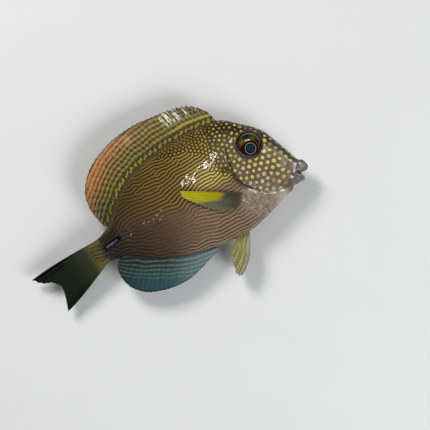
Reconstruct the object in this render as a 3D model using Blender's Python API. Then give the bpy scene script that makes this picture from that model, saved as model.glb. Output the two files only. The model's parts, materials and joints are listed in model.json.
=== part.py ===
"""Young white-freckled surgeonfish, life size, lying on its left flank as a freshly caught fish rests.

Frame: metres, +Z up. The fish lies flat: +X points to the snout, +Y to the back (dorsal side), and
the right flank faces +Z. The origin is under the middle of the model, on the surface it lies on.
The shapes are worked out in millimetres about a point in the middle of the trunk (the "fish frame",
median plane at z = 0) and moved to the row frame at the very end.
"""
import math

import bmesh
import bpy
import numpy as np
from mathutils import Matrix, Vector

# ---------------------------------------------------------------- driving sizes, millimetres
GAP = 0.30            # clearance kept between neighbouring pieces
FLANK_REST = 6.95     # half thickness at which the resting (left) flank is pressed flat
LOFT_STATIONS = 44    # sections along the body
LOFT_AROUND = 28      # points round each section

TAIL_ROOT_X = -41.6   # end of the fleshy tail stalk
TAIL_SLANT = 0.13     # the stalk ends on a slant, further back at its top
SNOUT_X = 36.3        # front of the head, behind the lips
DENT_AT, DENT = (9.0, -10.0), 1.05   # where the flank gives way to the fin folded under it, and how deep

# Body stations from tail to snout: x, back line, belly line, half width, height of the widest line.
STATIONS = (
    (-45.0, -1.2, -9.0, 1.15, -5.1),
    (-40.0, -0.3, -9.7, 1.85, -5.0),
    (-35.5, 2.2, -10.3, 2.70, -4.2),
    (-29.0, 9.3, -13.6, 3.90, -2.6),
    (-21.0, 15.5, -17.1, 5.35, -0.8),
    (-12.0, 18.6, -20.0, 6.75, 0.6),
    (-2.0, 20.3, -21.1, 7.35, 1.4),
    (7.0, 20.9, -21.2, 7.15, 1.2),
    (15.8, 20.0, -19.5, 6.60, 0.0),
    (23.8, 14.8, -16.3, 5.75, -1.6),
    (29.2, 9.9, -14.0, 4.80, -3.6),
    (33.2, 2.1, -12.2, 3.75, -5.8),
    (36.0, -4.2, -11.0, 2.75, -7.6),
    (38.0, -8.9, -10.2, 1.50, -9.4),
)

# Eye
EYE_AT = (22.35, 7.05)
EYE_R, EYE_DEPTH, EYE_PROUD = 4.42, 2.6, 1.0
# Mouth: the crease behind the lips runs from CREASE_TOP to CREASE_END
CREASE_TOP, CREASE_END = (36.5, -3.9), (29.4, -13.2)
# Gill opening, from the nape round the gill cover to the chin
GILL_EDGE = ((16.6, 26.0), (14.6, 9.4), (13.3, 2.6), (13.4, -0.8), (14.6, -4.2), (16.8, -7.0),
             (20.9, -10.1), (25.2, -11.6), (29.6, -13.0), (31.5, -16.5))
GILL_COVER_FRONT = ((16.7, 9.9), (16.9, 6.0), (18.3, 1.6), (20.4, -1.6), (21.9, -5.4), (22.4, -9.2))
# Tail stalk cut and tail lancet
STALK_CUT = ((-31.2, 12.0), (-32.0, 0.0), (-32.4, -8.0), (-32.0, -16.0))
LANCET_AT, LANCET_HALF = (-36.6, -4.1), (3.3, 0.62, 0.42)
LANCET_TURN = math.radians(9)
# Fins
EDGE_T = 0.55         # thickness at the rim of a fin
ROOT_T = 1.25         # thickness at the foot of a median fin


# ---------------------------------------------------------------- curves and the body surface
def spline(knots, values, x):
    """Smooth monotone cubic through a few named values, without overshoot."""
    k, v = np.asarray(knots, float), np.asarray(values, float)
    h, d = np.diff(k), np.diff(v) / np.diff(k)
    m = np.zeros(len(k))
    for i in range(1, len(k) - 1):
        if d[i - 1] * d[i] > 0:
            w1, w2 = 2 * h[i] + h[i - 1], h[i] + 2 * h[i - 1]
            m[i] = (w1 + w2) / (w1 / d[i - 1] + w2 / d[i])
    m[0], m[-1] = d[0], d[-1]
    x = np.clip(np.asarray(x, float), k[0], k[-1])
    i = np.clip(np.searchsorted(k, x, side="right") - 1, 0, len(k) - 2)
    t = (x - k[i]) / h[i]
    return ((1 + 2 * t) * (1 - t) ** 2 * v[i] + t * (1 - t) ** 2 * h[i] * m[i]
            + t * t * (3 - 2 * t) * v[i + 1] + t * t * (t - 1) * h[i] * m[i + 1])


COLUMNS = np.array(STATIONS).T


def back(x):
    return spline(COLUMNS[0], COLUMNS[1], x)


def belly(x):
    return spline(COLUMNS[0], COLUMNS[2], x)


def half_width(x):
    return spline(COLUMNS[0], COLUMNS[3], x)


def wide_line(x):
    return spline(COLUMNS[0], COLUMNS[4], x)


def keel_power(x, upper):
    """How lens-like a section is: the back is a narrow keel, the belly rounder, the snout rounder still."""
    head = np.clip((np.asarray(x, float) - 18.0) / 16.0, 0, 1)
    return (0.60 - 0.10 * head) if upper else (0.52 - 0.02 * head)


def section_half(x, rel, upper):
    """Half width at a share rel (0 at the widest line, 1 at the keel) of the section's upper or lower part."""
    n = 2.0 if upper else 2.2
    return half_width(x) * np.power(np.clip(1 - np.power(np.abs(rel), n), 0, 1), keel_power(x, upper))


def surface_z(x, y):
    """Half thickness of the body at a point of the side view, 0 outside its outline."""
    t, b, c = float(back(x)), float(belly(x)), float(wide_line(x))
    if y >= t or y <= b:
        return 0.0
    upper = y >= c
    rel = (y - c) / (t - c) if upper else (c - y) / (c - b)
    return float(section_half(x, rel, upper))


def resting_z(x, y, z):
    """Height of a point of the left flank once the fish lies on it: pressed flat, and dented by its fin."""
    if z > 0:
        return z
    far = ((x - DENT_AT[0]) / 7.0) ** 2 + ((y - DENT_AT[1]) / 4.6) ** 2
    dent = DENT * min(1.0, 1.6 * math.exp(-1.5 * far)) * min(1.0, -z / 4.0)
    return max(z + dent, -FLANK_REST)


def lie(p):
    """How the resting fish settles: the tail end and the free fin edges sink a little towards the floor."""
    x, y, z = p
    tail = min(max((-30.0 - x) / 40.0, 0.0), 1.0)
    top = min(max((y - 22.0) / 10.0, 0.0), 1.0)
    low = min(max((-22.0 - y) / 13.0, 0.0), 1.0)
    return Vector((x, y, z - 3.4 * tail * tail * (3 - 2 * tail) - 0.9 * top * top - 1.0 * low * low))


# ---------------------------------------------------------------- scene helpers
def clear_scene():
    for o in list(bpy.data.objects):
        bpy.data.objects.remove(o, do_unlink=True)


def make_collection(name, hidden=False):
    c = bpy.data.collections.new(name)
    bpy.context.scene.collection.children.link(c)
    c.hide_render = hidden
    return c


def make_material(name, colour, roughness, metallic=0.0):
    m = bpy.data.materials.new(name)
    m.use_nodes = True
    b = m.node_tree.nodes["Principled BSDF"]
    b.inputs["Base Color"].default_value = (*colour, 1.0)
    b.inputs["Roughness"].default_value = roughness
    b.inputs["Metallic"].default_value = metallic
    return m


def add_object(name, bm, collection, material=None):
    bmesh.ops.recalc_face_normals(bm, faces=bm.faces)
    me = bpy.data.meshes.new(name)
    bm.to_mesh(me)
    bm.free()
    o = bpy.data.objects.new(name, me)
    collection.objects.link(o)
    if material:
        me.materials.append(material)
    return o


def closed_loft(rings):
    """Closed mesh through equal rings of points, with a fan over each end."""
    bm = bmesh.new()
    rows = [[bm.verts.new(p) for p in ring] for ring in rings]
    n = len(rows[0])
    for a, b in zip(rows, rows[1:]):
        for i in range(n):
            j = (i + 1) % n
            bm.faces.new((a[i], a[j], b[j], b[i]))
    for row, flip in ((rows[0], True), (rows[-1], False)):
        middle = bm.verts.new(sum((v.co for v in row), Vector()) / n)
        for i in range(n):
            j = (i + 1) % n
            bm.faces.new((row[j], row[i], middle) if flip else (row[i], row[j], middle))
    return bm


def prism(name, outline, z0, z1, collection):
    """A closed flat outline made solid between two heights."""
    bm = bmesh.new()
    base = [bm.verts.new((x, y, z0)) for x, y in outline]
    face = bm.faces.new(base)
    out = bmesh.ops.extrude_face_region(bm, geom=[face])
    bmesh.ops.translate(bm, vec=(0, 0, z1 - z0),
                        verts=[g for g in out["geom"] if isinstance(g, bmesh.types.BMVert)])
    return add_object(name, bm, collection)


def ellipsoid(name, centre, radii, turn, collection, material=None, rings=14, segments=24, grow=0.0):
    bm = bmesh.new()
    bmesh.ops.create_uvsphere(bm, u_segments=segments, v_segments=rings, radius=1.0)
    size = Matrix.Diagonal((radii[0] + grow, radii[1] + grow, radii[2] + grow, 1.0))
    bmesh.ops.transform(bm, matrix=Matrix.Translation(centre) @ Matrix.Rotation(turn, 4, "Z") @ size, verts=bm.verts)
    return add_object(name, bm, collection, material)


def boolean(obj, cutter, operation):
    """Applies one exact Boolean and leaves the result as the object's own mesh."""
    m = obj.modifiers.new("cut", "BOOLEAN")
    m.operation, m.solver, m.object = operation, "EXACT", cutter
    graph = bpy.context.evaluated_depsgraph_get()
    graph.update()
    me = bpy.data.meshes.new_from_object(obj.evaluated_get(graph))
    obj.modifiers.remove(m)
    old = obj.data
    obj.data = me
    bpy.data.meshes.remove(old)
    me.name = obj.name


def copy_object(obj, name, collection):
    c = bpy.data.objects.new(name, obj.data.copy())
    collection.objects.link(c)
    return c


def curve_points(knots, count):
    """Points at even steps along a smooth curve through a few knots."""
    k = np.array(knots, float)
    s = np.concatenate([[0], np.cumsum(np.linalg.norm(np.diff(k, axis=0), axis=1))])
    q = np.linspace(0, s[-1], count)
    return list(zip(spline(s, k[:, 0], q), spline(s, k[:, 1], q)))


def shifted(points, distance):
    """The same path moved sideways."""
    p = np.array(points)
    d = np.gradient(p, axis=0)
    n = np.stack([-d[:, 1], d[:, 0]], 1) / np.linalg.norm(d, axis=1)[:, None]
    return [tuple(q) for q in p + n * distance]


# ---------------------------------------------------------------- body
def body_rings():
    """Sections from the end of the tail stalk to the snout, closer together at the head."""
    rings = []
    for i in range(LOFT_STATIONS):
        s = i / (LOFT_STATIONS - 1)
        x = TAIL_ROOT_X + (SNOUT_X + 0.9 - TAIL_ROOT_X) * (1 - (1 - s) ** 1.35) ** 0.98
        t, b, c = float(back(x)), float(belly(x)), float(wide_line(x))
        ring = []
        for j in range(LOFT_AROUND):
            a = 2 * math.pi * (j + 0.5) / LOFT_AROUND
            up, side = math.sin(a), math.cos(a)
            y = c + (t - c) * up if up >= 0 else c + (c - b) * up
            z = float(section_half(x, abs(up), up >= 0)) * (1 if side > 0 else -1)
            slant = TAIL_SLANT * (-5.2 - y) * min(max((-36.0 - x) / 5.6, 0.0), 1.0)
            ring.append((x + slant, y, resting_z(x, y, z)))
        rings.append(ring)
    return rings


def half_plane(name, a, b, side, collection, reach=80.0):
    """Everything on one side of the line a-b in the side view (side = +1: to the left of a->b)."""
    a, b = Vector((*a, 0)), Vector((*b, 0))
    d = (b - a).normalized()
    n = Vector((-d.y, d.x, 0)) * side
    p, q = a - d * reach, b + d * reach
    pts = [p, q, q + n * reach, p + n * reach]
    return prism(name, [(v.x, v.y) for v in pts], -30, 30, collection)


# ---------------------------------------------------------------- fins
def fin_solid(name, base, ray_length, ray_angle, plane, collection, material,
              columns, rows=5, root_t=ROOT_T, edge_t=EDGE_T, sweep=None):
    """A closed thin plate fanned out of a base line.

    base(t) gives the foot of the ray at share t, ray_length(t) and ray_angle(t) its length and its
    direction in the side view, sweep(t) how far it bends by its tip, and plane(x, y) the height of
    the fin's middle surface.
    """
    bm = bmesh.new()
    upper, lower = [], []
    for i in range(columns + 1):
        t = i / columns
        bx, by = base(t)
        length, angle = ray_length(t), ray_angle(t)
        up_row, low_row = [], []
        for j in range(rows + 1):
            v = j / rows
            bend = sweep(t) * v * v if sweep else 0.0
            x = bx + length * v * math.cos(angle + bend)
            y = by + length * v * math.sin(angle + bend)
            thick = (edge_t + (root_t - edge_t) * (1 - v) ** 2.2) / 2
            z = plane(x, y)
            up_row.append(bm.verts.new((x, y, z + thick)))
            low_row.append(bm.verts.new((x, y, z - thick)))
        upper.append(up_row)
        lower.append(low_row)
    for i in range(columns):
        for j in range(rows):
            bm.faces.new((upper[i][j], upper[i + 1][j], upper[i + 1][j + 1], upper[i][j + 1]))
            bm.faces.new((lower[i][j], lower[i][j + 1], lower[i + 1][j + 1], lower[i + 1][j]))
        bm.faces.new((upper[i][0], lower[i][0], lower[i + 1][0], upper[i + 1][0]))
        bm.faces.new((upper[i][rows], upper[i + 1][rows], lower[i + 1][rows], lower[i][rows]))
    for j in range(rows):
        bm.faces.new((upper[0][j], upper[0][j + 1], lower[0][j + 1], lower[0][j]))
        bm.faces.new((upper[columns][j], lower[columns][j], lower[columns][j + 1], upper[columns][j + 1]))
    return add_object(name, bm, collection, material)


def along(knots, values):
    return lambda t: float(spline(knots, values, t))


def dorsal_base(t):
    x = 15.6 - 50.9 * t
    return x, float(back(x)) + GAP


def anal_base(t):
    x = -2.5 - 33.5 * t
    return x, float(belly(x)) - GAP


DORSAL_LENGTH = along((0, 0.06, 0.16, 0.30, 0.45, 0.60, 0.75, 0.84, 0.91, 0.96, 1.0),
                      (4.6, 8.6, 10.3, 11.0, 12.6, 13.3, 13.2, 12.0, 8.6, 4.6, 1.0))
DORSAL_ANGLE = along((0, 0.30, 0.50, 0.66, 0.80, 0.90, 1.0),
                     tuple(math.radians(a) for a in (109, 111, 118, 128, 142, 155, 165)))
ANAL_LENGTH = along((0, 0.10, 0.22, 0.38, 0.55, 0.68, 0.79, 0.88, 0.95, 1.0),
                    (1.6, 3.6, 6.1, 9.2, 11.4, 12.1, 11.0, 8.2, 4.6, 1.4))
ANAL_ANGLE = along((0, 0.25, 0.50, 0.70, 0.85, 1.0),
                   tuple(math.radians(a) for a in (-122, -114, -120, -127, -140, -160)))


# Jaws, worked out in lengths forward of the mouth crease (u) and up along it from its top (v)
UPPER_JAW = (   # u, top, bottom, half width
    (0.30, -0.45, -5.70, 2.75), (1.40, -0.35, -5.78, 2.74), (2.45, -0.60, -5.66, 2.58), (3.25, -1.05, -5.20, 2.26),
    (3.85, -1.55, -4.72, 1.86), (4.28, -2.06, -4.30, 1.36), (4.54, -2.62, -3.70, 0.72))
LOWER_JAW = (
    (0.30, -6.02, -11.30, 2.85), (1.25, -6.08, -10.60, 2.74), (2.20, -6.06, -9.80, 2.50), (3.05, -6.04, -9.00, 2.15),
    (3.70, -6.10, -8.25, 1.72), (4.10, -6.28, -7.66, 1.22), (4.34, -6.60, -7.20, 0.62))


def jaw(name, table, collection, material, around=20):
    """A jaw as a rounded loft forward from the mouth crease."""
    top, end = Vector((*CREASE_TOP, 0)), Vector((*CREASE_END, 0))
    up = (top - end).normalized()
    ahead = Vector((up.y, -up.x, 0))
    rings = []
    for u, high, low, wide in table:
        ring = []
        for j in range(around):
            a = 2 * math.pi * (j + 0.5) / around
            c, s = math.cos(a), math.sin(a)
            v = (high + low) / 2 + (high - low) / 2 * math.copysign(abs(s) ** 0.86, s)
            z = wide * math.copysign(abs(c) ** 0.86, c)
            ring.append(top + ahead * u + up * v + Vector((0, 0, z)))
        rings.append(ring)
    return add_object(name, closed_loft(rings), collection, material)


def build():
    clear_scene()
    fish = make_collection("surgeonfish")
    tools = make_collection("cutters", hidden=True)

    skin = make_material("skin_brown", (0.16, 0.105, 0.055), 0.35)
    cheek = make_material("cheek_taupe", (0.17, 0.12, 0.08), 0.35)
    lip = make_material("lip_grey", (0.20, 0.15, 0.12), 0.3)
    fin_amber = make_material("dorsal_amber", (0.26, 0.14, 0.04), 0.3)
    fin_blue = make_material("anal_blue", (0.03, 0.09, 0.10), 0.3)
    fin_dark = make_material("caudal_dark", (0.045, 0.05, 0.04), 0.35)
    fin_yellow = make_material("pectoral_yellow", (0.45, 0.38, 0.01), 0.3)
    fin_olive = make_material("pelvic_olive", (0.22, 0.19, 0.05), 0.3)
    eye_dark = make_material("eye_dark", (0.012, 0.014, 0.02), 0.08)
    bone = make_material("lancet_bone", (0.42, 0.40, 0.46), 0.3)

    # --- whole body, in one piece, then parted with thin cuts
    whole = add_object("body_whole", closed_loft(body_rings()), tools, skin)
    whole.hide_render, whole.display_type = True, "WIRE"

    # the mouth crease, a cut square to the side view
    face = half_plane("cut_mouth", CREASE_TOP, CREASE_END, -1, tools)       # what lies behind the crease

    # the gill opening: everything ahead of it, and everything behind it less the gap
    edge = curve_points(GILL_EDGE, 26)
    ahead = prism("cut_head", list(shifted(edge, GAP / 2)) + [(60, -16), (60, 26)], -30, 30, tools)
    behind = prism("cut_trunk", list(shifted(edge, -GAP / 2)) + [(31.5, -40), (-32.0, -40)]
                   + list(reversed(shifted(curve_points(STALK_CUT, 5), GAP / 2)))
                   + [(-31.2, 40), (16.6, 40)], -30, 30, tools)
    stalk_side = prism("cut_stalk", list(shifted(curve_points(STALK_CUT, 5), -GAP / 2))
                       + [(-60, -16), (-60, 12)], -30, 30, tools)

    head = copy_object(whole, "head", fish)
    boolean(head, face, "INTERSECT")
    boolean(head, ahead, "INTERSECT")
    trunk = copy_object(whole, "trunk", fish)
    boolean(trunk, face, "INTERSECT")
    boolean(trunk, behind, "INTERSECT")
    stalk = copy_object(whole, "tail_stalk", fish)
    boolean(stalk, stalk_side, "INTERSECT")

    # --- gill covers: plates let into the rear of the head
    rear = [p for p in curve_points(GILL_EDGE, 26) if -10.6 < p[1] < 10.5]
    cover_rear = shifted(rear, GAP / 2)
    # its front line bends round the eye
    inner_line = curve_points(GILL_COVER_FRONT, 9)
    outline = list(cover_rear) + list(reversed(inner_line))
    for side, name in ((1, "gill_cover_right"), (-1, "gill_cover_left")):
        z0, z1 = (3.6, 12.0) if side > 0 else (-12.0, -3.6)
        cover = copy_object(whole, name, fish)
        cover.data.materials.clear()
        cover.data.materials.append(cheek)
        boolean(cover, prism(name + "_keep", outline, z0, z1, tools), "INTERSECT")
        # behind, the pocket runs out of the head so that only the gill cut is left
        wide = ([(x, y + (0.5 if i == 0 else 0)) for i, (x, y) in enumerate(shifted(rear, GAP / 2 - 2.0))]
                + [(x, y + (0.5 if i == len(inner_line) - 1 else 0))
                   for i, (x, y) in enumerate(reversed(shifted(inner_line, GAP)))])
        pocket = prism(name + "_pocket", wide, z0 - GAP if side > 0 else z0, z1 if side > 0 else z1 + GAP, tools)
        boolean(head, pocket, "DIFFERENCE")

    # --- eyes in their sockets
    for side, name in ((1, "eye_right"), (-1, "eye_left")):
        skin_z = surface_z(*EYE_AT)
        centre_z = side * (skin_z + EYE_PROUD - EYE_DEPTH)
        at = (EYE_AT[0], EYE_AT[1], centre_z)
        ellipsoid(name, at, (EYE_R, EYE_R, EYE_DEPTH), 0, fish, eye_dark, rings=10, segments=22)
        socket = ellipsoid(name + "_socket", at, (EYE_R, EYE_R, EYE_DEPTH), 0, tools, grow=GAP, rings=10, segments=22)
        boolean(head, socket, "DIFFERENCE")

    # --- lips and jaws in front of the crease
    jaw("upper_jaw", UPPER_JAW, fish, lip)
    jaw("lower_jaw", LOWER_JAW, fish, lip)

    # --- tail lancets, folded forward in their grooves
    for side, name in ((1, "tail_lancet_right"), (-1, "tail_lancet_left")):
        z = side * (surface_z(*LANCET_AT) + 0.05)
        at = (*LANCET_AT, z)
        ellipsoid(name, at, LANCET_HALF, LANCET_TURN, fish, bone, rings=8, segments=16)
        groove = ellipsoid(name + "_groove", at, LANCET_HALF, LANCET_TURN, tools, grow=GAP, rings=8, segments=16)
        boolean(stalk, groove, "DIFFERENCE")

    # --- median fins
    flat = lambda x, y: 0.0
    fin_solid("dorsal_fin", dorsal_base, DORSAL_LENGTH, DORSAL_ANGLE, flat, fish, fin_amber, columns=34, rows=5)
    fin_solid("anal_fin", anal_base, ANAL_LENGTH, ANAL_ANGLE, flat, fish, fin_blue, columns=26, rows=5)

    degrees = lambda *a: tuple(math.radians(v) for v in a)
    fin_solid("caudal_fin",
              lambda t: (TAIL_ROOT_X - GAP - TAIL_SLANT * (4.45 - 8.85 * t), -0.75 - 8.85 * t),
              along((0, 0.10, 0.22, 0.40, 0.60, 0.80, 1.0), (26.8, 24.2, 21.1, 19.4, 20.0, 21.4, 23.0)),
              along((0, 0.10, 0.22, 0.40, 0.60, 0.80, 1.0), degrees(183.6, 189.6, 193.2, 198.8, 201.9, 205.4, 208.6)),
              flat, fish, fin_dark, columns=20, rows=6, root_t=1.9,
              sweep=along((0, 0.3, 1.0), degrees(3.0, 0.5, -2.8)))

    # --- paired fins
    def pectoral_plane(side, clear, lift):
        def plane(x, y):
            z = abs(resting_z(x, y, side * max(surface_z(min(x, 13.0), y), 4.6)))
            away = min(max((12.4 - x) / 16.0, 0.0), 1.0)
            return side * (z + clear + lift * away)
        return plane

    length = along((0, 0.15, 0.35, 0.55, 0.75, 0.90, 1.0), (22.0, 21.2, 17.6, 13.2, 9.0, 5.6, 3.6))
    fin_solid("pectoral_fin_right", lambda t: (13.6 - 2.4 * t, -7.4 - 3.4 * t), lambda t: length(t) + 0.7,
              along((0, 0.5, 1.0), degrees(154.0, 164.0, 182.0)),
              pectoral_plane(1, GAP + 0.32, 0.85), fish, fin_yellow, columns=14, rows=6, root_t=0.62)
    fin_solid("pectoral_fin_left", lambda t: (12.6 - 2.4 * t, -7.6 - 3.7 * t), length,
              along((0, 0.5, 1.0), degrees(196.0, 202.0, 212.0)),
              pectoral_plane(-1, GAP + 0.30, 0.0), fish, fin_yellow, columns=14, rows=6, root_t=0.58)

    for side, name, splay in ((1, "pelvic_fin_right", 0.03), (-1, "pelvic_fin_left", 0.11)):
        fin_solid(name, lambda t: (9.7 - 5.6 * t, float(belly(9.7 - 5.6 * t)) - GAP),
                  along((0, 0.30, 0.55, 0.80, 1.0), (15.9, 15.0, 10.9, 6.9, 3.6)),
                  along((0, 0.30, 0.55, 0.80, 1.0), degrees(-108.0, -113.4, -122.5, -131.0, -135.0)),
                  lambda x, y, side=side, splay=splay: side * (0.62 + splay * (-21.2 - y)),
                  fish, fin_olive, columns=10, rows=5, root_t=0.8,
                  sweep=along((0, 0.30, 0.55, 0.80, 1.0), degrees(-17.2, -12.0, -8.0, -5.0, -3.0)))

    # --- settle the fish on the floor and move it to the row frame
    low, high = Vector((1e9,) * 3), Vector((-1e9,) * 3)
    for o in fish.objects:
        for v in o.data.vertices:
            v.co = lie(v.co)
            low = Vector(map(min, low, v.co))
            high = Vector(map(max, high, v.co))
    shift = Vector((-(low.x + high.x) / 2, -(low.y + high.y) / 2, FLANK_REST))
    for o in fish.objects:
        o.data.transform(Matrix.Scale(0.001, 4) @ Matrix.Translation(shift))
        o.data.shade_smooth()
        o.data.set_sharp_from_angle(angle=math.radians(40))
    print("origin shift in mm", tuple(round(c, 3) for c in shift),
          "box", tuple(round(c, 2) for c in low), tuple(round(c, 2) for c in high))
    for o in tools.objects:
        o.hide_render, o.display_type = True, "WIRE"


build()
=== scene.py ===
import json
import math

import bpy
import numpy as np
from mathutils import Matrix, Vector

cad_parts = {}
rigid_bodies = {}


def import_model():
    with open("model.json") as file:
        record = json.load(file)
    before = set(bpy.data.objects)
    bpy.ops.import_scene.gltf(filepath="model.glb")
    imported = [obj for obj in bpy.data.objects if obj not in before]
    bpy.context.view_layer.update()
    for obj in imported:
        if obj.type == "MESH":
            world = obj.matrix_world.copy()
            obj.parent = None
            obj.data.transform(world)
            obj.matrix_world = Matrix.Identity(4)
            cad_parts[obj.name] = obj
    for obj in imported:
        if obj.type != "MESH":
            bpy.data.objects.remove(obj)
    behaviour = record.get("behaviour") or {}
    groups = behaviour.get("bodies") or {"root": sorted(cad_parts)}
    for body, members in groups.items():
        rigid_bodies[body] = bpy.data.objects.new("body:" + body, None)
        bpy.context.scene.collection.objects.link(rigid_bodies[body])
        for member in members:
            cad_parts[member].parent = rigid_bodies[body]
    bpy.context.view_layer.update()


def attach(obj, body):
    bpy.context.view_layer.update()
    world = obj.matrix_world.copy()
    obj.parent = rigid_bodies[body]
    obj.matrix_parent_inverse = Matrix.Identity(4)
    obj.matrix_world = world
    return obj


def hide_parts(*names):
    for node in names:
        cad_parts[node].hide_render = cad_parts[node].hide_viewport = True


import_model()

# A young white-freckled surgeonfish, life size, lying on its left flank.
# Shapes are worked out in millimetres in the fish frame (x to the snout, y to the back, z out of the right
# flank, median plane z = 0), then settled and moved to the row frame.
SHIFT = np.array([15.228, 1.447, 6.95])
FLANK_REST = 6.95
RNG = np.random.default_rng(1207)


# ================================================================ curves and the body surface
def spline(knots, values, x):
    k, v = np.asarray(knots, float), np.asarray(values, float)
    h, d = np.diff(k), np.diff(v) / np.diff(k)
    m = np.zeros(len(k))
    for i in range(1, len(k) - 1):
        if d[i - 1] * d[i] > 0:
            w1, w2 = 2 * h[i] + h[i - 1], h[i] + 2 * h[i - 1]
            m[i] = (w1 + w2) / (w1 / d[i - 1] + w2 / d[i])
    m[0], m[-1] = d[0], d[-1]
    x = np.clip(np.asarray(x, float), k[0], k[-1])
    i = np.clip(np.searchsorted(k, x, side="right") - 1, 0, len(k) - 2)
    t = (x - k[i]) / h[i]
    return ((1 + 2 * t) * (1 - t) ** 2 * v[i] + t * (1 - t) ** 2 * h[i] * m[i]
            + t * t * (3 - 2 * t) * v[i + 1] + t * t * (t - 1) * h[i] * m[i + 1])


def smooth(a, b, x):
    t = np.clip((np.asarray(x, float) - a) / (b - a), 0, 1)
    return t * t * (3 - 2 * t)


def bell(x, w):
    return np.exp(-(np.asarray(x, float) / w) ** 2)


STATIONS = np.array((
    (-45.0, -1.2, -9.0, 1.15, -5.1), (-40.0, -0.3, -9.7, 1.85, -5.0), (-35.5, 2.2, -10.3, 2.70, -4.2),
    (-29.0, 9.3, -13.6, 3.90, -2.6), (-21.0, 15.5, -17.1, 5.35, -0.8), (-12.0, 18.6, -20.0, 6.75, 0.6),
    (-2.0, 20.3, -21.1, 7.35, 1.4), (7.0, 20.9, -21.2, 7.15, 1.2), (15.8, 20.0, -19.5, 6.60, 0.0),
    (23.8, 14.8, -16.3, 5.75, -1.6), (29.2, 9.9, -14.0, 4.80, -3.6), (33.2, 2.1, -12.2, 3.75, -5.8),
    (36.0, -4.2, -11.0, 2.75, -7.6), (38.0, -8.9, -10.2, 1.50, -9.4))).T
EYE_AT, EYE_R, EYE_DEPTH, EYE_PROUD = (22.35, 7.05), 4.42, 2.6, 1.0
CREASE_TOP, CREASE_END = np.array((36.5, -3.9)), np.array((29.4, -13.2))
GILL_EDGE = np.array(((14.9, 10.4), (14.3, 8.2), (13.3, 2.6), (13.4, -0.8), (14.6, -4.2), (16.8, -7.0),
                      (20.9, -10.1), (25.2, -11.6), (29.6, -12.7)))
DENT_AT, DENT = (9.0, -10.0), 1.05
LANCET_AT = (-36.6, -4.1)


def back(x):
    return spline(STATIONS[0], STATIONS[1], x)


def belly(x):
    return spline(STATIONS[0], STATIONS[2], x)


def half_width(x):
    w = spline(STATIONS[0], STATIONS[3], x)
    # the flesh of the tail stalk thins out into the root of the tail fin
    return w * np.where(x < -39.5, np.sqrt(np.clip(1 - ((-39.5 - x) / 6.3) ** 2, 0.02, 1)), 1.0)


def wide_line(x):
    return spline(STATIONS[0], STATIONS[4], x)


def body_half(x, y):
    """Half thickness of the body at points of the side view."""
    t, b, c = back(x), belly(x), wide_line(x)
    upper = y >= c
    rel = np.where(upper, (y - c) / (t - c), (c - y) / (c - b))
    rel = np.clip(rel, 0, 1)
    head = np.clip((x - 18.0) / 16.0, 0, 1)
    power = np.where(upper, 0.60 - 0.10 * head, 0.52 - 0.02 * head)
    n = np.where(upper, 2.0, 2.2)
    return half_width(x) * np.power(np.clip(1 - np.power(rel, n), 0, 1), power)


def resting_z(x, y, z):
    far = ((x - DENT_AT[0]) / 7.0) ** 2 + ((y - DENT_AT[1]) / 4.6) ** 2
    dent = DENT * np.minimum(1.0, 1.6 * np.exp(-1.5 * far)) * np.clip(-z / 4.0, 0, 1)
    return np.where(z > 0, z, np.maximum(z + dent, -FLANK_REST))


def to_row(p):
    """Fish frame in millimetres to the row frame in metres: the tail and free fin edges sink a little."""
    p = np.asarray(p, float)
    x, y, z = p[..., 0], p[..., 1], p[..., 2]
    tail = np.clip((-30.0 - x) / 40.0, 0, 1)
    top = np.clip((y - 22.0) / 10.0, 0, 1)
    low = np.clip((-22.0 - y) / 13.0, 0, 1)
    z = z - 3.4 * tail * tail * (3 - 2 * tail) - 0.9 * top * top - 1.0 * low * low
    return (np.stack([x, y, z], -1) + SHIFT) * 0.001


# ================================================================ mesh helpers
def add_mesh(name, verts, quads=None, tris=None, smooth_shade=True):
    """Mesh from arrays of points (fish mm), quads and triangles."""
    me = bpy.data.meshes.new(name)
    v = to_row(verts)
    me.vertices.add(len(v))
    me.vertices.foreach_set("co", v.astype(np.float32).ravel())
    parts = [(a, k) for a, k in ((quads, 4), (tris, 3)) if a is not None and len(a)]
    loops = np.concatenate([np.asarray(a, np.int32).ravel() for a, k in parts])
    sizes = np.concatenate([np.full(len(a), k, np.int32) for a, k in parts])
    starts = np.concatenate([[0], np.cumsum(sizes)[:-1]]).astype(np.int32)
    me.loops.add(len(loops))
    me.loops.foreach_set("vertex_index", loops)
    me.polygons.add(len(sizes))
    me.polygons.foreach_set("loop_start", starts)
    me.polygons.foreach_set("use_smooth", np.full(len(sizes), smooth_shade))
    me.update(calc_edges=True)
    me.validate()
    ob = bpy.data.objects.new(name, me)
    bpy.context.scene.collection.objects.link(ob)
    return ob


def put_float(ob, name, values):
    a = ob.data.attributes.new(name, "FLOAT", "POINT")
    a.data.foreach_set("value", np.asarray(values, np.float32).ravel())


def put_vector(ob, name, values):
    a = ob.data.attributes.new(name, "FLOAT_VECTOR", "POINT")
    a.data.foreach_set("vector", np.asarray(values, np.float32).ravel())


def put_colour(ob, name, values):
    a = ob.data.attributes.new(name, "FLOAT_COLOR", "POINT")
    rgba = np.concatenate([np.asarray(values, np.float32), np.ones((len(values), 1), np.float32)], 1)
    a.data.foreach_set("color", rgba.ravel())


def put_uv(ob, name, per_vertex=None, per_loop=None):
    layer = ob.data.uv_layers.new(name=name)
    if per_loop is None:
        index = np.zeros(len(ob.data.loops), np.int32)
        ob.data.loops.foreach_get("vertex_index", index)
        per_loop = per_vertex[index]
    layer.data.foreach_set("uv", np.asarray(per_loop, np.float32).ravel())


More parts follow.
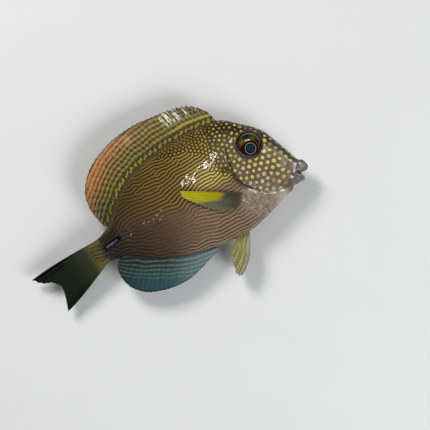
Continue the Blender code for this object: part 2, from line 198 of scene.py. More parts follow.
def point_normals(verts, quads=None, tris=None):
    n = np.zeros_like(verts)
    for faces in (quads, tris):
        if faces is None or not len(faces):
            continue
        p = verts[faces]
        if faces.shape[1] == 4:
            fn = np.cross(p[:, 2] - p[:, 0], p[:, 3] - p[:, 1])
        else:
            fn = np.cross(p[:, 1] - p[:, 0], p[:, 2] - p[:, 0])
        for k in range(faces.shape[1]):
            for c in range(3):
                n[:, c] += np.bincount(faces[:, k], weights=fn[:, c], minlength=len(verts))
    return n / np.maximum(np.linalg.norm(n, axis=1, keepdims=True), 1e-12)


def rgb(r, g, b):
    c = np.array([r, g, b], float) / 255.0
    return np.where(c <= 0.04045, c / 12.92, ((c + 0.055) / 1.055) ** 2.4)


def path_distance(px, py, path):
    """Signed distance to a path (positive to its left) and the share of the path at the nearest point."""
    a, b = path[:-1], path[1:]
    seg = b - a
    length = np.linalg.norm(seg, axis=1)
    start = np.concatenate([[0], np.cumsum(length)[:-1]])
    best = np.full(px.shape, 1e9)
    share, sign = np.zeros(px.shape), np.ones(px.shape)
    for i in range(len(a)):
        dx, dy = px - a[i, 0], py - a[i, 1]
        t = np.clip((dx * seg[i, 0] + dy * seg[i, 1]) / length[i] ** 2, 0, 1)
        ex, ey = dx - t * seg[i, 0], dy - t * seg[i, 1]
        d = np.hypot(ex, ey)
        near = d < best
        best = np.where(near, d, best)
        share = np.where(near, start[i] + t * length[i], share)
        side = np.sign(seg[i, 0] * dy - seg[i, 1] * dx)
        sign = np.where(near, np.where(side == 0, 1, side), sign)
    return best * sign, share / length.sum()


def smooth_path(knots, count):
    k = np.array(knots, float)
    s = np.concatenate([[0], np.cumsum(np.linalg.norm(np.diff(k, axis=0), axis=1))])
    q = np.linspace(0, s[-1], count)
    return np.stack([spline(s, k[:, 0], q), spline(s, k[:, 1], q)], 1)


# ================================================================ markings
COURSE = (  # which way the lines run: x, y and the angle to the fish's axis, the snout being 0
    (-17.5, 12.6, -8), (-16.2, 9.3, -4), (-8.2, 8.3, 13), (-13.3, 3.7, 6), (-21.2, 4.6, 8), (-29.8, 4.3, 22),
    (-23.7, 11.3, -11), (-11.3, -4.3, 4), (-4.7, 10.4, 16), (2.7, 11.1, 8), (-4.7, 16.0, 4), (-8.0, 3.4, 14),
    (2.9, 2.6, 18), (7.3, 0.0, 9), (4.7, -2.5, -4), (-0.1, 2.3, 21), (9.4, -3.6, 20), (7.5, -16.9, 10),
    (-2.0, -13.0, -2), (-8.7, -14.5, -13), (-19.0, -13.5, -20), (-27.0, -9.0, -18), (-36.0, -6.0, -4),
    (-30.0, -2.0, 4), (-1.0, -7.0, 6), (-18.0, -5.0, 2), (4.0, 16.0, 6), (14.0, -14.0, 16))


SPACING = (  # how far apart the lines are: x, y and mm
    (3.4, 15.7, 1.10), (-7.5, 13.4, 1.21), (-15.4, 9.2, 1.25), (-20.9, 5.8, 1.24), (-26.5, 6.5, 1.33), (-36.0, -3.0, 1.36),
    (-15.0, -3.0, 1.33), (-8.5, -10.0, 1.28), (0.0, -12.6, 1.30), (-15.0, -15.0, 1.38), (3.8, 1.4, 1.08), (-5.0, 3.0, 1.18),
    (10.0, 8.0, 1.10), (-1.0, 10.0, 1.13))


def dot_line(y):
    """Where the small dots of the shoulder give way to the larger, looser dots of the head."""
    return 8.6 + 0.12 * (y - 5.0) + 1.4 * smooth(6.0, 2.0, y)


DOT_EDGE = np.array(((-13.0, 19.5), (-8.1, 16.6), (-0.8, 14.6), (4.4, 12.0), (6.4, 8.6), (6.8, 5.5), (7.9, 2.0), (10.2, 0.2),
                     (16.0, -0.8)))


def dot_share(x, y):
    """1 where the marks of the flank are separate dots, 0 where they run together as lines."""
    d, _ = path_distance(x, y, DOT_EDGE)
    return smooth(-0.9, 1.1, d)


def labyrinth(seed):
    """Grown pigment pattern: a pattern-forming field whose crests are the pale marks."""
    step, nx, ny = 0.2, 360, 280
    xs, ys = -49.0 + step * np.arange(nx), -28.0 + step * np.arange(ny)
    X, Y = np.meshgrid(xs, ys, indexing="ij")
    rng = np.random.default_rng(seed)
    kx = 2 * np.pi * np.fft.fftfreq(nx, step)[:, None]
    ky = 2 * np.pi * np.fft.rfftfreq(ny, step)[None, :]
    k2 = kx * kx + ky * ky

    def cloud(width):
        n = np.fft.irfft2(np.fft.rfft2(rng.standard_normal(X.shape)) * np.exp(-k2 * width ** 2 / 4), s=X.shape)
        return n / n.std()

    c, q = np.zeros(X.shape), np.zeros(X.shape)
    for px, py, angle in COURSE:
        w = np.exp(-((X - px) ** 2 + (Y - py) ** 2) / 26.0) + 1e-6
        c += w * math.cos(2 * math.radians(angle))
        q += w * math.sin(2 * math.radians(angle))
    course = 0.5 * np.arctan2(q, c) + math.radians(12) * cloud(1.15) + math.radians(4) * cloud(4.0)
    tx, ty = np.cos(course), np.sin(course)
    period, total = np.zeros(X.shape), np.zeros(X.shape)
    for px, py, mm in SPACING:
        w = np.exp(-((X - px) ** 2 + (Y - py) ** 2) / 40.0) + 1e-6
        period, total = period + w * mm, total + w
    reach = (period / total / (2 * np.pi)) ** 2
    widest = (1 - k2 * reach.max()) ** 2
    dotty = dot_share(X, Y + 0.5 * cloud(2.0))
    u = 0.35 * cloud(0.32)
    g = 1.45 * dotty
    pull = 0.012 * (1 - dotty)
    dt, r = 0.4, 0.34 - 0.12 * dotty

    def along_course(w):
        gx = (np.roll(w, -1, 0) - np.roll(w, 1, 0)) / (2 * step)
        gy = (np.roll(w, -1, 1) - np.roll(w, 1, 1)) / (2 * step)
        return tx * gx + ty * gy

    for i in range(230):
        bend = along_course(along_course(u)) if i < 205 else 0.0
        u = u / np.sqrt(1 + 2 * dt * u * u)
        f = np.fft.rfft2(u)
        w = u - reach * np.fft.irfft2(k2 * f, s=X.shape)
        local = w - reach * np.fft.irfft2(k2 * np.fft.rfft2(w), s=X.shape)
        f = np.fft.rfft2(u + dt * (r * u + g * u * u + pull * bend - local)) + dt * widest * f
        u = np.fft.irfft2(f / (1 + dt * widest), s=X.shape)
    u = u / (0.55 + 0.45 * dotty)
    u = u - 0.42 * dotty
    f = np.fft.rfft2(u)
    fine = np.zeros((nx * 2, ny + 1), complex)
    fine[:nx // 2, :ny // 2] = f[:nx // 2, :ny // 2]
    fine[-nx // 2:, :ny // 2] = f[nx // 2:, :ny // 2]
    return xs[0], ys[0], step / 2, np.fft.irfft2(fine, s=(nx * 2, ny * 2)) * 4


def grit(seed):
    """Fine uneven mottling of bare skin, of about 0.9 mm."""
    step, nx, ny = 0.12, 792, 400
    kx = 2 * np.pi * np.fft.fftfreq(nx, step)[:, None]
    ky = 2 * np.pi * np.fft.rfftfreq(ny, step)[None, :]
    k = np.hypot(kx, ky)
    rng = np.random.default_rng(seed)
    keep = np.exp(-(k / 7.5) ** 2) + 0.5 * np.exp(-(k * 2.2) ** 2 / 4)
    u = np.fft.irfft2(np.fft.rfft2(rng.standard_normal((nx, ny))) * keep, s=(nx, ny))
    return -49.0, -24.0, step, u / u.std()


def look_up(field, x, y):
    x0, y0, step, u = field
    fx = np.clip((x - x0) / step, 0, u.shape[0] - 1.001)
    fy = np.clip((y - y0) / step, 0, u.shape[1] - 1.001)
    i, j = fx.astype(int), fy.astype(int)
    a, b = fx - i, fy - j
    return ((u[i, j] * (1 - a) + u[i + 1, j] * a) * (1 - b) + (u[i, j + 1] * (1 - a) + u[i + 1, j + 1] * a) * b)


def dot_spacing(x, y):
    d = np.maximum(x - dot_line(y), 0)
    s = 1.12 + 2.03 * (1 - np.exp(-d / 8.7))
    s = s - 0.52 * smooth(9.5, 13.5, y) * smooth(12.0, 18.0, x)       # closer on the nape
    return s - 0.62 * smooth(25.0, 35.0, x)                             # and towards the lips


def relaxed(pts, held, times):
    """Points that push each other apart to dot_spacing; the first held ones stay."""
    for _ in range(times):
        d = pts[:, None, :] - pts[None, :, :]
        r = np.hypot(d[..., 0], d[..., 1]) + np.eye(len(pts)) * 99
        s = dot_spacing(pts[:, 0], pts[:, 1])[:, None]
        push = np.clip(1.0 - r / s, 0, 1)[..., None] * d / r[..., None]
        move = 0.35 * push.sum(1) * s
        move[:held] = 0
        pts = pts + move
    return pts


def head_dots(seed, field):
    """Dot centres and radii of the head: spaced by dot_spacing and relaxed until they sit evenly."""
    rng = np.random.default_rng(seed)
    # the last small dots of the shoulder stay where they grew
    x0, y0, step, u = field
    m = (u > 0.15)
    for a, b in ((1, 0), (-1, 0), (0, 1), (0, -1), (1, 1), (-1, -1), (1, -1), (-1, 1)):
        m &= u >= np.roll(np.roll(u, a, 0), b, 1)
    i, j = np.nonzero(m)
    fixed = np.stack([x0 + i * step, y0 + j * step], 1)
    edge = dot_line(fixed[:, 1])
    fixed = fixed[(fixed[:, 0] > edge - 2.2) & (fixed[:, 0] < edge) & (fixed[:, 1] > 0.8) & (fixed[:, 1] < 21)]
    cloud = np.stack([rng.uniform(7.0, 37.5, 12000), rng.uniform(-14.5, 22.0, 12000)], 1)
    cloud = cloud[cloud[:, 0] > dot_line(cloud[:, 1])]
    pts = np.zeros((3000, 2))
    pts[:len(fixed)] = fixed
    n = len(fixed)
    for p, s in zip(cloud, dot_spacing(cloud[:, 0], cloud[:, 1])):
        if np.min(np.hypot(pts[:n, 0] - p[0], pts[:n, 1] - p[1])) > 0.72 * s:
            pts[n] = p
            n += 1
    pts = relaxed(pts[:n], len(fixed), 45)
    # fill the gaps that are left
    for p, s in zip(cloud, dot_spacing(cloud[:, 0], cloud[:, 1])):
        if np.min(np.hypot(pts[:, 0] - p[0], pts[:, 1] - p[1])) > 0.80 * s:
            pts = np.concatenate([pts, p[None]])
    pts = relaxed(pts, len(fixed), 14)[len(fixed):]
    s = dot_spacing(pts[:, 0], pts[:, 1])
    radius = (0.238 + 0.022 * np.exp(-np.maximum(pts[:, 0] - dot_line(pts[:, 1]), 0) / 3.0)) * s * rng.uniform(0.78, 1.18, len(pts))
    radius *= np.where(rng.random(len(pts)) < 0.07, 0.62, 1.0)
    # some dots dull, some of a richer yellow (below 0)
    dull = np.where(rng.random(len(pts)) < 0.24, -rng.uniform(0.4, 1.0, len(pts)), 0.5 * rng.random(len(pts)) ** 3)
    return pts, radius, dull


def dot_field(dots, x, y):
    pts, radius, dim = dots
    best, dull = np.full(x.shape, -9.0), np.zeros(x.shape)
    near = np.nonzero(x > 5.0)[0]
    for start in range(0, len(near), 20000):
        k = near[start:start + 20000]
        d = np.hypot(x[k][:, None] - pts[None, :, 0], y[k][:, None] - pts[None, :, 1])
        near_to = np.argmax(radius[None, :] - d, axis=1)
        best[k] = radius[near_to] - d[np.arange(len(k)), near_to]
        dull[k] = dim[near_to]
    return best / 0.28, dull


GILL_PATH = smooth_path(GILL_EDGE, 60)
GILL_FRONT = float(np.sign(path_distance(np.array([20.0]), np.array([0.0]), GILL_PATH)[0][0]))
PREOPERCLE = smooth_path(((17.2, 8.6), (17.6, 4.0), (18.9, -0.4), (20.8, -4.4), (24.4, -7.9), (28.6, -9.9)), 40)
FIELD = {1: labyrinth(11), -1: labyrinth(29)}
DOTS = {1: head_dots(5, FIELD[1]), -1: head_dots(8, FIELD[-1])}
GRIT = grit(17)


def blend_in(colour, other, share):
    w = np.asarray(share)[:, None]
    return colour * (1 - w) + other * w


def markings(x, y, side, girth=None):
    """Ground colour, mark colour and mark field at points of the side view; girth is y measured round the body."""
    side = np.broadcast_to(side, x.shape)
    girth = y if girth is None else girth
    gill, share = path_distance(x, y, GILL_PATH)
    cover = smooth(-0.15, 0.15, gill * GILL_FRONT) * smooth(-0.02, 0.03, share) * smooth(8.0, 12.0, x)
    cover = np.maximum(cover, smooth(15.0, 17.0, x) * (y > 4))
    u = (x - CREASE_TOP[0]) * 0.795 - (y - CREASE_TOP[1]) * 0.607
    # flank: golden lines on olive brown, duller and rosier towards the belly, darker to the tail
    shoulder = np.exp(-((x - 5.5) / 8.0) ** 2 - ((y - 2.0) / 7.0) ** 2)
    rear = smooth(-10.0, -31.0, x)
    low = smooth(1.0, -8.0, y + 0.10 * (x + 10.0) - 2.2 * smooth(-4, 8, x))
    front_low = low * smooth(-20.0, 0.0, x)
    keel = smooth(-12.0, -19.5, y) * smooth(-18.0, -8.0, x)
    ground = np.broadcast_to(rgb(48, 32, 8), (len(x), 3))
    pale = np.broadcast_to(rgb(116, 94, 45), (len(x), 3))
    ground, pale = blend_in(ground, rgb(74, 54, 20), shoulder), blend_in(pale, rgb(184, 168, 94), shoulder)
    ground, pale = blend_in(ground, rgb(42, 29, 17), rear * 0.9), blend_in(pale, rgb(79, 62, 42), rear * 0.95)
    ground, pale = blend_in(ground, rgb(60, 45, 34), low), blend_in(pale, rgb(86, 67, 51), low)
    ground, pale = blend_in(ground, rgb(84, 66, 48), front_low), blend_in(pale, rgb(124, 105, 84), front_low)
    ground, pale = blend_in(ground, rgb(72, 58, 47), keel * 0.7), blend_in(pale, rgb(132, 114, 94), keel * 0.7)
    crest = np.exp(-((x - 4.0) / 7.5) ** 2 - ((y - 13.5) / 4.5) ** 2)
    ground, pale = blend_in(ground, rgb(48, 34, 12), 0.8 * crest), blend_in(pale, rgb(156, 138, 66), 0.75 * crest)
    # the lines all but fade low on the rear flank
    faded = np.exp(-((x + 17.5) / 14.0) ** 4) * smooth(0.5, -4.0, y - 0.22 * (-17.5 - x)) * smooth(2.6, 5.0, y - belly(x))
    middle = 0.55 * ground + 0.45 * pale
    ground, pale = blend_in(ground, middle, 0.68 * faded), blend_in(pale, middle, 0.68 * faded)
    # and stand out less towards the tail
    soft = 0.08 + 0.22 * smooth(-9.0, -18.0, x)
    middle = 0.5 * ground + 0.5 * pale
    ground, pale = blend_in(ground, middle, soft), blend_in(pale, middle, soft)
    dusk = low * smooth(-14.0, -30.0, x)
    ground, pale = blend_in(ground, rgb(42, 32, 23), dusk), blend_in(pale, rgb(60, 49, 38), dusk)
    tail = smooth(-29.0, -36.0, x)
    ground, pale = blend_in(ground, rgb(31, 29, 22), tail), blend_in(pale, rgb(46, 42, 33), tail)
    root = np.maximum(bell(x + 42.5, 2.2), smooth(-40.0, -42.5, x))
    ground, pale = blend_in(ground, rgb(66, 60, 36), root * 0.85), blend_in(pale, rgb(88, 82, 50), root * 0.85)
    # throat and chin: plain, pinkish grey to cream
    throat = smooth(7.0, 12.5, x + 0.5 * (y + 9.0)) * smooth(-4.5, -8.0, y) * (1 - cover)
    chin = smooth(19.5, 27.0, x) * smooth(-9.5, -13.5, y)
    ground, pale = blend_in(ground, rgb(111, 96, 84), throat), blend_in(pale, rgb(136, 121, 107), throat)
    ground, pale = blend_in(ground, rgb(153, 145, 125), chin), blend_in(pale, rgb(159, 152, 131), chin)
    # head: yellow dots on taupe, darker on the nape and brow, greyer low on the cheek
    head = np.maximum(smooth(3.0, 15.0, x - 0.15 * (y - 5)) * smooth(2.5, 5.5, y), cover)
    nape = smooth(8.0, 15.0, y + 0.45 * np.maximum(x - 26, 0)) * smooth(9.0, 20.0, x)
    brow = smooth(8.6, 2.2, back(x) - y)
    skin_tone = blend_in(np.broadcast_to(rgb(92, 78, 63), (len(x), 3)), rgb(102, 86, 73), smooth(-3.0, -9.0, y))
    skin_tone = blend_in(skin_tone, rgb(68, 56, 37), nape)
    skin_tone = blend_in(skin_tone, rgb(40, 34, 24), brow * 0.92)
    skin_tone = blend_in(skin_tone, rgb(106, 94, 81), smooth(29.0, 34.5, x) * (1 - brow))
    dots_tone = blend_in(np.broadcast_to(rgb(192, 180, 112), (len(x), 3)), rgb(162, 154, 110), smooth(-2.0, -8.5, y))
    dots_tone = blend_in(dots_tone, rgb(184, 164, 54), smooth(7.0, 13.0, y))
    dots_tone = blend_in(dots_tone, rgb(176, 149, 82), smooth(28.0, 33.0, x))
    dots_tone = blend_in(dots_tone, rgb(180, 164, 52), bell(np.hypot(x - 14.5, y - 6.5), 4.5))
    dots_tone = blend_in(dots_tone, rgb(156, 142, 62), brow * 0.80)
    ground, pale = blend_in(ground, skin_tone, head), blend_in(pale, dots_tone, head)
    # marks
    lines = np.where(side > 0, look_up(FIELD[1], x, girth), look_up(FIELD[-1], x, girth))
    (dots, dull), (dots_left, dull_left) = dot_field(DOTS[1], x, girth), dot_field(DOTS[-1], x, girth)
    dots, dull = np.where(side > 0, dots, dots_left), np.where(side > 0, dull, dull_left)
    past = smooth(-0.35, 0.35, x - dot_line(girth)) * (y > 1.5)
    past = np.maximum(past, cover)
    marks = (lines + 0.02) * (1 - past) + dots * past
    # none just behind the gill opening, round the eye, on the lips, the throat and the chin
    strip = bell(gill * -GILL_FRONT - 0.4, 0.7) * (gill * -GILL_FRONT > 0) * smooth(2.0, -1.5, y) * smooth(18.0, 14.5, x)
    marks = marks - 2.2 * strip
    eye = np.hypot(x - EYE_AT[0], y - EYE_AT[1])
    marks = np.minimum(marks, (eye - 5.35) / 0.3)
    marks = np.where(u > -1.3, -3.0, marks)
    pale = blend_in(pale, ground, np.maximum(dull, 0) * past * head)
    pale = blend_in(pale, rgb(190, 176, 36), np.maximum(-dull, 0) * past * head * 0.8)
    # on the throat only a fine mottling, as on the bare skin of the head
    mottled = look_up(GRIT, x, girth * np.where(side > 0, 1.0, 0.93))
    marks = marks * (1 - throat) + (0.27 * mottled - 0.05) * throat - 3 * chin * (1 - cover)
    uneven = 1 + mottled * (0.035 + 0.075 * head + 0.04 * low)
    ground, pale = ground * np.clip(uneven, 0.6, 1.5)[:, None], pale * np.clip(1 + 0.5 * (uneven - 1), 0.7, 1.3)[:, None]
    # dark rim round the eye
    ring = bell(eye - 4.70, 0.42)
    ground, pale = blend_in(ground, rgb(22, 18, 14), 0.8 * ring), blend_in(pale, rgb(22, 18, 14), 0.8 * ring)
    # nostrils: painted shade darkens the two pits
    nostril_shade = np.maximum(bell(np.hypot(x - 28.7, y - 3.1), 0.42), bell(np.hypot(x - 27.2, y - 4.0), 0.34))
    ground, pale = blend_in(ground, rgb(16, 12, 10), 0.85 * nostril_shade), blend_in(pale, rgb(16, 12, 10), 0.85 * nostril_shade)
    # plain olive line under the dorsal fin, darker keel above the anal fin
    under = smooth(1.3 + 1.5 * smooth(2.0, -16.0, x), 0.6 + 0.3 * smooth(2.0, -16.0, x), back(x) - y) * smooth(16.5, 13.5, x) * smooth(-39, -34, x)
    ground, pale = blend_in(ground, rgb(70, 57, 36), under), blend_in(pale, rgb(76, 62, 38), under)
    keel_line = bell(y - belly(x), 0.8) * smooth(0.0, -4.0, x) * smooth(-41, -36, x)
    ground, pale = ground * (1 - 0.5 * keel_line)[:, None], pale * (1 - 0.5 * keel_line)[:, None]
    # black spindle round the lancet of the tail
    slot, along_slot = path_distance(x, y, np.array(((-39.6, -4.8), (-36.6, -4.1), (-33.3, -3.3))))
    spindle = smooth(1.35, 0.75, np.abs(slot) + 0.9 * np.abs(along_slot - 0.5) ** 2)
    ground, pale = blend_in(ground, rgb(13, 11, 12), 0.94 * spindle), blend_in(pale, rgb(13, 11, 12), 0.94 * spindle)
    # gill opening: a dark slit, painted shade in the groove behind the cover's edge
    slit = bell(gill * -GILL_FRONT - 0.12, 0.30) * smooth(-0.02, 0.08, share) * (1 - 0.72 * smooth(0.50, 0.70, share))
    ground, pale = blend_in(ground, rgb(30, 20, 16), 0.9 * slit), blend_in(pale, rgb(30, 20, 16), 0.9 * slit)
    # lips: taupe, the lower one lavender grey
    lip = smooth(-0.9, 0.4, u)
    tone = blend_in(np.broadcast_to(rgb(89, 78, 70), (len(x), 3)), rgb(92, 85, 86), smooth(-8.6, -10.5, y))
    ground, pale = blend_in(ground, tone, lip), blend_in(pale, tone, lip)
    # reddish brown along the crease behind the lips and from the corner of the mouth down the cheek's lower edge; along
    # the crease it is partly painted shade
    v = (x - CREASE_TOP[0]) * 0.607 + (y - CREASE_TOP[1]) * 0.795
    russet_and_crease_shade = bell(u + 0.45, 0.55) * smooth(0.0, -2.0, v) * 0.6
    jowl, js = path_distance(x, y, np.array(((21.5, -9.0), (25.2, -10.4), (29.0, -11.1), (31.6, -10.6))))
    russet_and_crease_shade = np.maximum(russet_and_crease_shade, 0.6 * bell(jowl, 0.45) * smooth(0.0, 0.3, js))
    ground, pale = blend_in(ground, rgb(84, 56, 44), russet_and_crease_shade), blend_in(pale, rgb(96, 66, 52), russet_and_crease_shade)
    return ground, pale, np.clip(marks, -4, 4)


# ================================================================ relief of the skin
def relief(x, y, side):
    """How far the skin stands out of the plain body surface, in mm."""
    h = np.zeros(x.shape)
    gill, share = path_distance(x, y, GILL_PATH)
    ends = smooth(-0.01, 0.10, share) * smooth(1.02, 0.93, share)
    front, rear = np.maximum(gill * GILL_FRONT, 0), np.maximum(-gill * GILL_FRONT, 0)
    ahead = front > 0                                     # the gill cover
    h += ends * np.where(ahead, 0.26 * bell(front, 1.7), -0.40 * bell(rear - 0.25, 0.55))
    pre, pshare = path_distance(x, y, PREOPERCLE)
    h += 0.07 * bell(pre, 0.5) * smooth(0, 0.15, pshare) * smooth(1, 0.8, pshare)
    eye = np.hypot(x - EYE_AT[0], y - EYE_AT[1])
    h += 0.20 * bell(eye - 5.05, 0.38) - 1.15 * smooth(4.85, 3.9, eye)
    for nx, ny, r in ((28.7, 3.1, 0.42), (27.2, 4.0, 0.34)):
        d = np.hypot(x - nx, y - ny)
        h += 0.16 * bell(d - r * 1.3, 0.24) - 0.45 * bell(d, r * 0.75)
    # groove from the nostrils towards the mouth, and the cheek's swelling
    groove, gs = path_distance(x, y, smooth_path(((26.6, 2.6), (29.0, 0.6), (31.0, -2.4), (32.4, -5.4)), 16))
    h += -0.10 * bell(groove, 0.5) * smooth(0, 0.2, gs) * smooth(1, 0.6, gs)
    h += 0.18 * bell(np.hypot(x - 23.5, y + 3.5), 5.0)
    # fleshy base of the pectoral fin
    a = ((x - 12.2) * 0.80 + (y + 9.0) * -0.6) / 1.7
    b = ((x - 12.2) * 0.6 + (y + 9.0) * 0.80) / 3.0
    h += 0.55 * np.exp(-(a * a + b * b))
    # slot of the tail lancet
    slot, ss = path_distance(x, y, np.array(((-40.2, -4.9), (-36.6, -4.1), (-32.9, -3.2))))
    ends = smooth(-0.02, 0.12, ss) * smooth(1.02, 0.88, ss)
    h += ends * (-0.50 * bell(slot, 0.42) + 0.17 * bell(np.abs(slot) - 0.95, 0.38))
    # lateral line, arched below the back
    ll = back(x) - 4.6 - 3.4 * smooth(-20, -36, x)
    ll = np.where(x > 10, ll - 0.9 * (x - 10) * 0.3, ll)
    h += 0.035 * bell(y - ll, 0.3) * (0.6 + 0.4 * np.sin(x * 5.2)) * smooth(15, 13.5, x) * smooth(-37, -34, x)
    # groove under the dorsal fin and above the anal fin
    h += -0.10 * bell(back(x) - y - 1.5, 0.45) * smooth(14.5, 12.0, x) * smooth(-36, -31, x)
    # slow unevenness of living flesh
    h += 0.05 * np.sin(0.62 * x + 0.35 * y + 0.8 * side) * np.sin(0.48 * y - 0.2 * x + 1.3)
    h += 0.018 * np.sin(1.7 * x - 0.9 * y) * np.sin(1.4 * y + 0.5 * x)
    h += 0.0045 * np.sin(2.6 * x + 0.5 * y + 1.5 * np.sin(0.9 * y)) * smooth(-24.0, -16.0, x)
    return h


# ================================================================ the skin
HEAD_X, TAIL_END_X = 15.0, -45.4
N_AROUND, N_BODY, N_HEAD, N_MUZZLE = 320, 142, 108, 46
COAT_DEPTH = 0.10
LOBES = (  # centre (u, v), radii (along, across, sideways), turn: upper jaw, lower jaw, what carries them
    (1.05, -2.75, 3.00, 2.22, 2.00, 0.0),
    (0.90, -8.25, 2.90, 1.65, 1.95, math.atan2(0.56, 0.83)),
    (0.05, -6.60, 1.40, 6.05, 2.85, 0.0),
    (0.70, -5.50, 2.10, 1.50, 1.80, 0.0))


def lobe(u, v, z, shape):
    cu, cv, a, b, c, turn = shape
    du, dv = u - cu, v - cv
    p = du * math.cos(turn) + dv * math.sin(turn)
    q = -du * math.sin(turn) + dv * math.cos(turn)
    return (np.sqrt((p / a) ** 2 + (q / b) ** 2 + (z / c) ** 2) - 1) * min(a, b, c)


def roll(u, v, z, reach, v0, v1, wide, r0, r1):
    """A lip: a fleshy roll from the corner of the mouth round its front to the other corner."""
    out = np.full(u.shape, 99.0)
    for s_ in np.linspace(0, 1, 15):
        cu = 0.30 + reach * math.sin(math.pi / 2 * s_) ** 0.9
        cz = wide * math.cos(math.pi / 2 * s_)
        cv, r = v0 + (v1 - v0) * s_ ** 1.3, r0 + (r1 - r0) * s_
        out = np.minimum(out, np.sqrt((u - cu) ** 2 + (v - cv) ** 2 + (np.abs(z) - cz) ** 2) - r)
    return out


def soft_min(a, b, k):
    return -k * np.log(np.exp(-np.clip(a / k, -60, 60)) + np.exp(-np.clip(b / k, -60, 60)))


def lip_field(u, v, z):
    upper = soft_min(lobe(u, v, z, LOBES[0]), roll(u, v, z, 2.92, -4.75, -2.95, 1.75, 0.62, 1.34), 0.16)
    lower = soft_min(lobe(u, v, z, LOBES[1]), roll(u, v, z, 3.05, -6.25, -7.00, 1.70, 0.58, 1.00), 0.16)
    lips = soft_min(upper, lower, 0.05)
    lips = soft_min(lips, lobe(u, v, z, LOBES[3]), 0.08)
    return soft_min(lips, lobe(u, v, z, LOBES[2]), 0.22)


def build_skin_grid():
    body_x = np.linspace(TAIL_END_X, HEAD_X, N_BODY, endpoint=False)
    q = np.linspace(0, 1, N_HEAD)
    tx = np.concatenate([body_x, HEAD_X + (36.15 - HEAD_X) * q])
    bx = np.concatenate([body_x, HEAD_X + (28.84 - HEAD_X) * q])
    T, B = np.stack([tx, back(tx)], 1), np.stack([bx, belly(bx)], 1)
    f = np.full(len(tx), 0.5)
    for _ in range(4):
        x = tx + (bx - tx) * f
        f = (T[:, 1] - wide_line(x)) / (T[:, 1] - B[:, 1])
    C = T + (B - T) * f[:, None]
    a = 2 * np.pi * (np.arange(N_AROUND) + 0.5) / N_AROUND
    up, side = np.sin(a), np.sign(np.cos(a))
    away = np.where(up[None, :, None] >= 0, (T - C)[:, None, :], (B - C)[:, None, :])
    xy = C[:, None, :] + away * np.abs(up)[None, :, None]
    x, y = xy[..., 0], xy[..., 1]
    z = body_half(x, y) * side[None, :]
    z = resting_z(x, y, z)
    slant = 0.13 * (-5.2 - y) * np.clip((-36.0 - x) / 5.6, 0, 1)
    body = np.stack([x + slant, y, z], -1)

    # muzzle: rays from inside the mouth out to the lips
    ring = body[-1]
    ahead = np.array([0.795, -0.607, 0.0])
    ahead /= np.linalg.norm(ahead)
    upward = np.array([-ahead[1], ahead[0], 0.0])
    origin = np.array([CREASE_TOP[0], CREASE_TOP[1], 0.0])
    T1, B1 = np.array([T[-1, 0], T[-1, 1], 0.0]), np.array([B[-1, 0], B[-1, 1], 0.0])
    down = (B1 - T1) / np.linalg.norm(B1 - T1)
    centre = T1 + down * 5.15
    e = ring - centre
    ring_r = np.linalg.norm(e, axis=1)
    e = e / ring_r[:, None]
    phi = np.linspace(0, np.pi / 2, N_MUZZLE + 1)[1:]
    d = np.cos(phi)[:, None, None] * e[None] + np.sin(phi)[:, None, None] * ahead
    d /= np.linalg.norm(d, axis=2, keepdims=True)

    def field(r):
        p = centre + d * r[..., None] - origin
        return lip_field(p @ ahead, p @ upward, p[..., 2])

    steps = np.linspace(0.4, 9.0, 90)
    lo, hi = np.full(d.shape[:2], 0.4), np.full(d.shape[:2], 9.0)
    found = np.zeros(d.shape[:2], bool)
    for r0, r1 in zip(steps, steps[1:]):
        out = field(np.full(d.shape[:2], r1)) > 0
        new = out & ~found
        lo, hi = np.where(new, r0, lo), np.where(new, r1, hi)
        found |= out
    for _ in range(14):
        mid = (lo + hi) / 2
        out = field(mid) > 0
        hi, lo = np.where(out, mid, hi), np.where(out, lo, mid)
    take = smooth(0, math.radians(16), phi)[:, None]
    r = ring_r[None] * (1 - take) + hi * take
    r = r - 0.28 * bell(np.degrees(phi) - 9.5, 4.0)[:, None]
    muzzle = centre + d * r[..., None]
    # fine folds across the lips
    pu, pv = (muzzle - origin) @ ahead, (muzzle - origin) @ upward
    lean = np.arctan2(pv + 5.7, np.maximum(pu + 1.2, 0.4))
    fold = np.sin(lean * 26 + 2.2 * np.sin(pu * 1.3) + 0.6 * muzzle[..., 2]) * 0.5 + np.sin(lean * 41 + 1.7 * pu + 1.1) * 0.3
    fold = fold + 0.5 * np.sin(muzzle[..., 2] * 4.3 + 1.4 * pv) * smooth(1.0, 3.0, pu)
    r = r + 0.035 * fold * smooth(0.3, 1.6, pu)
    muzzle = centre + d * r[..., None]
    return body, muzzle[:-1], muzzle[-1].mean(0)


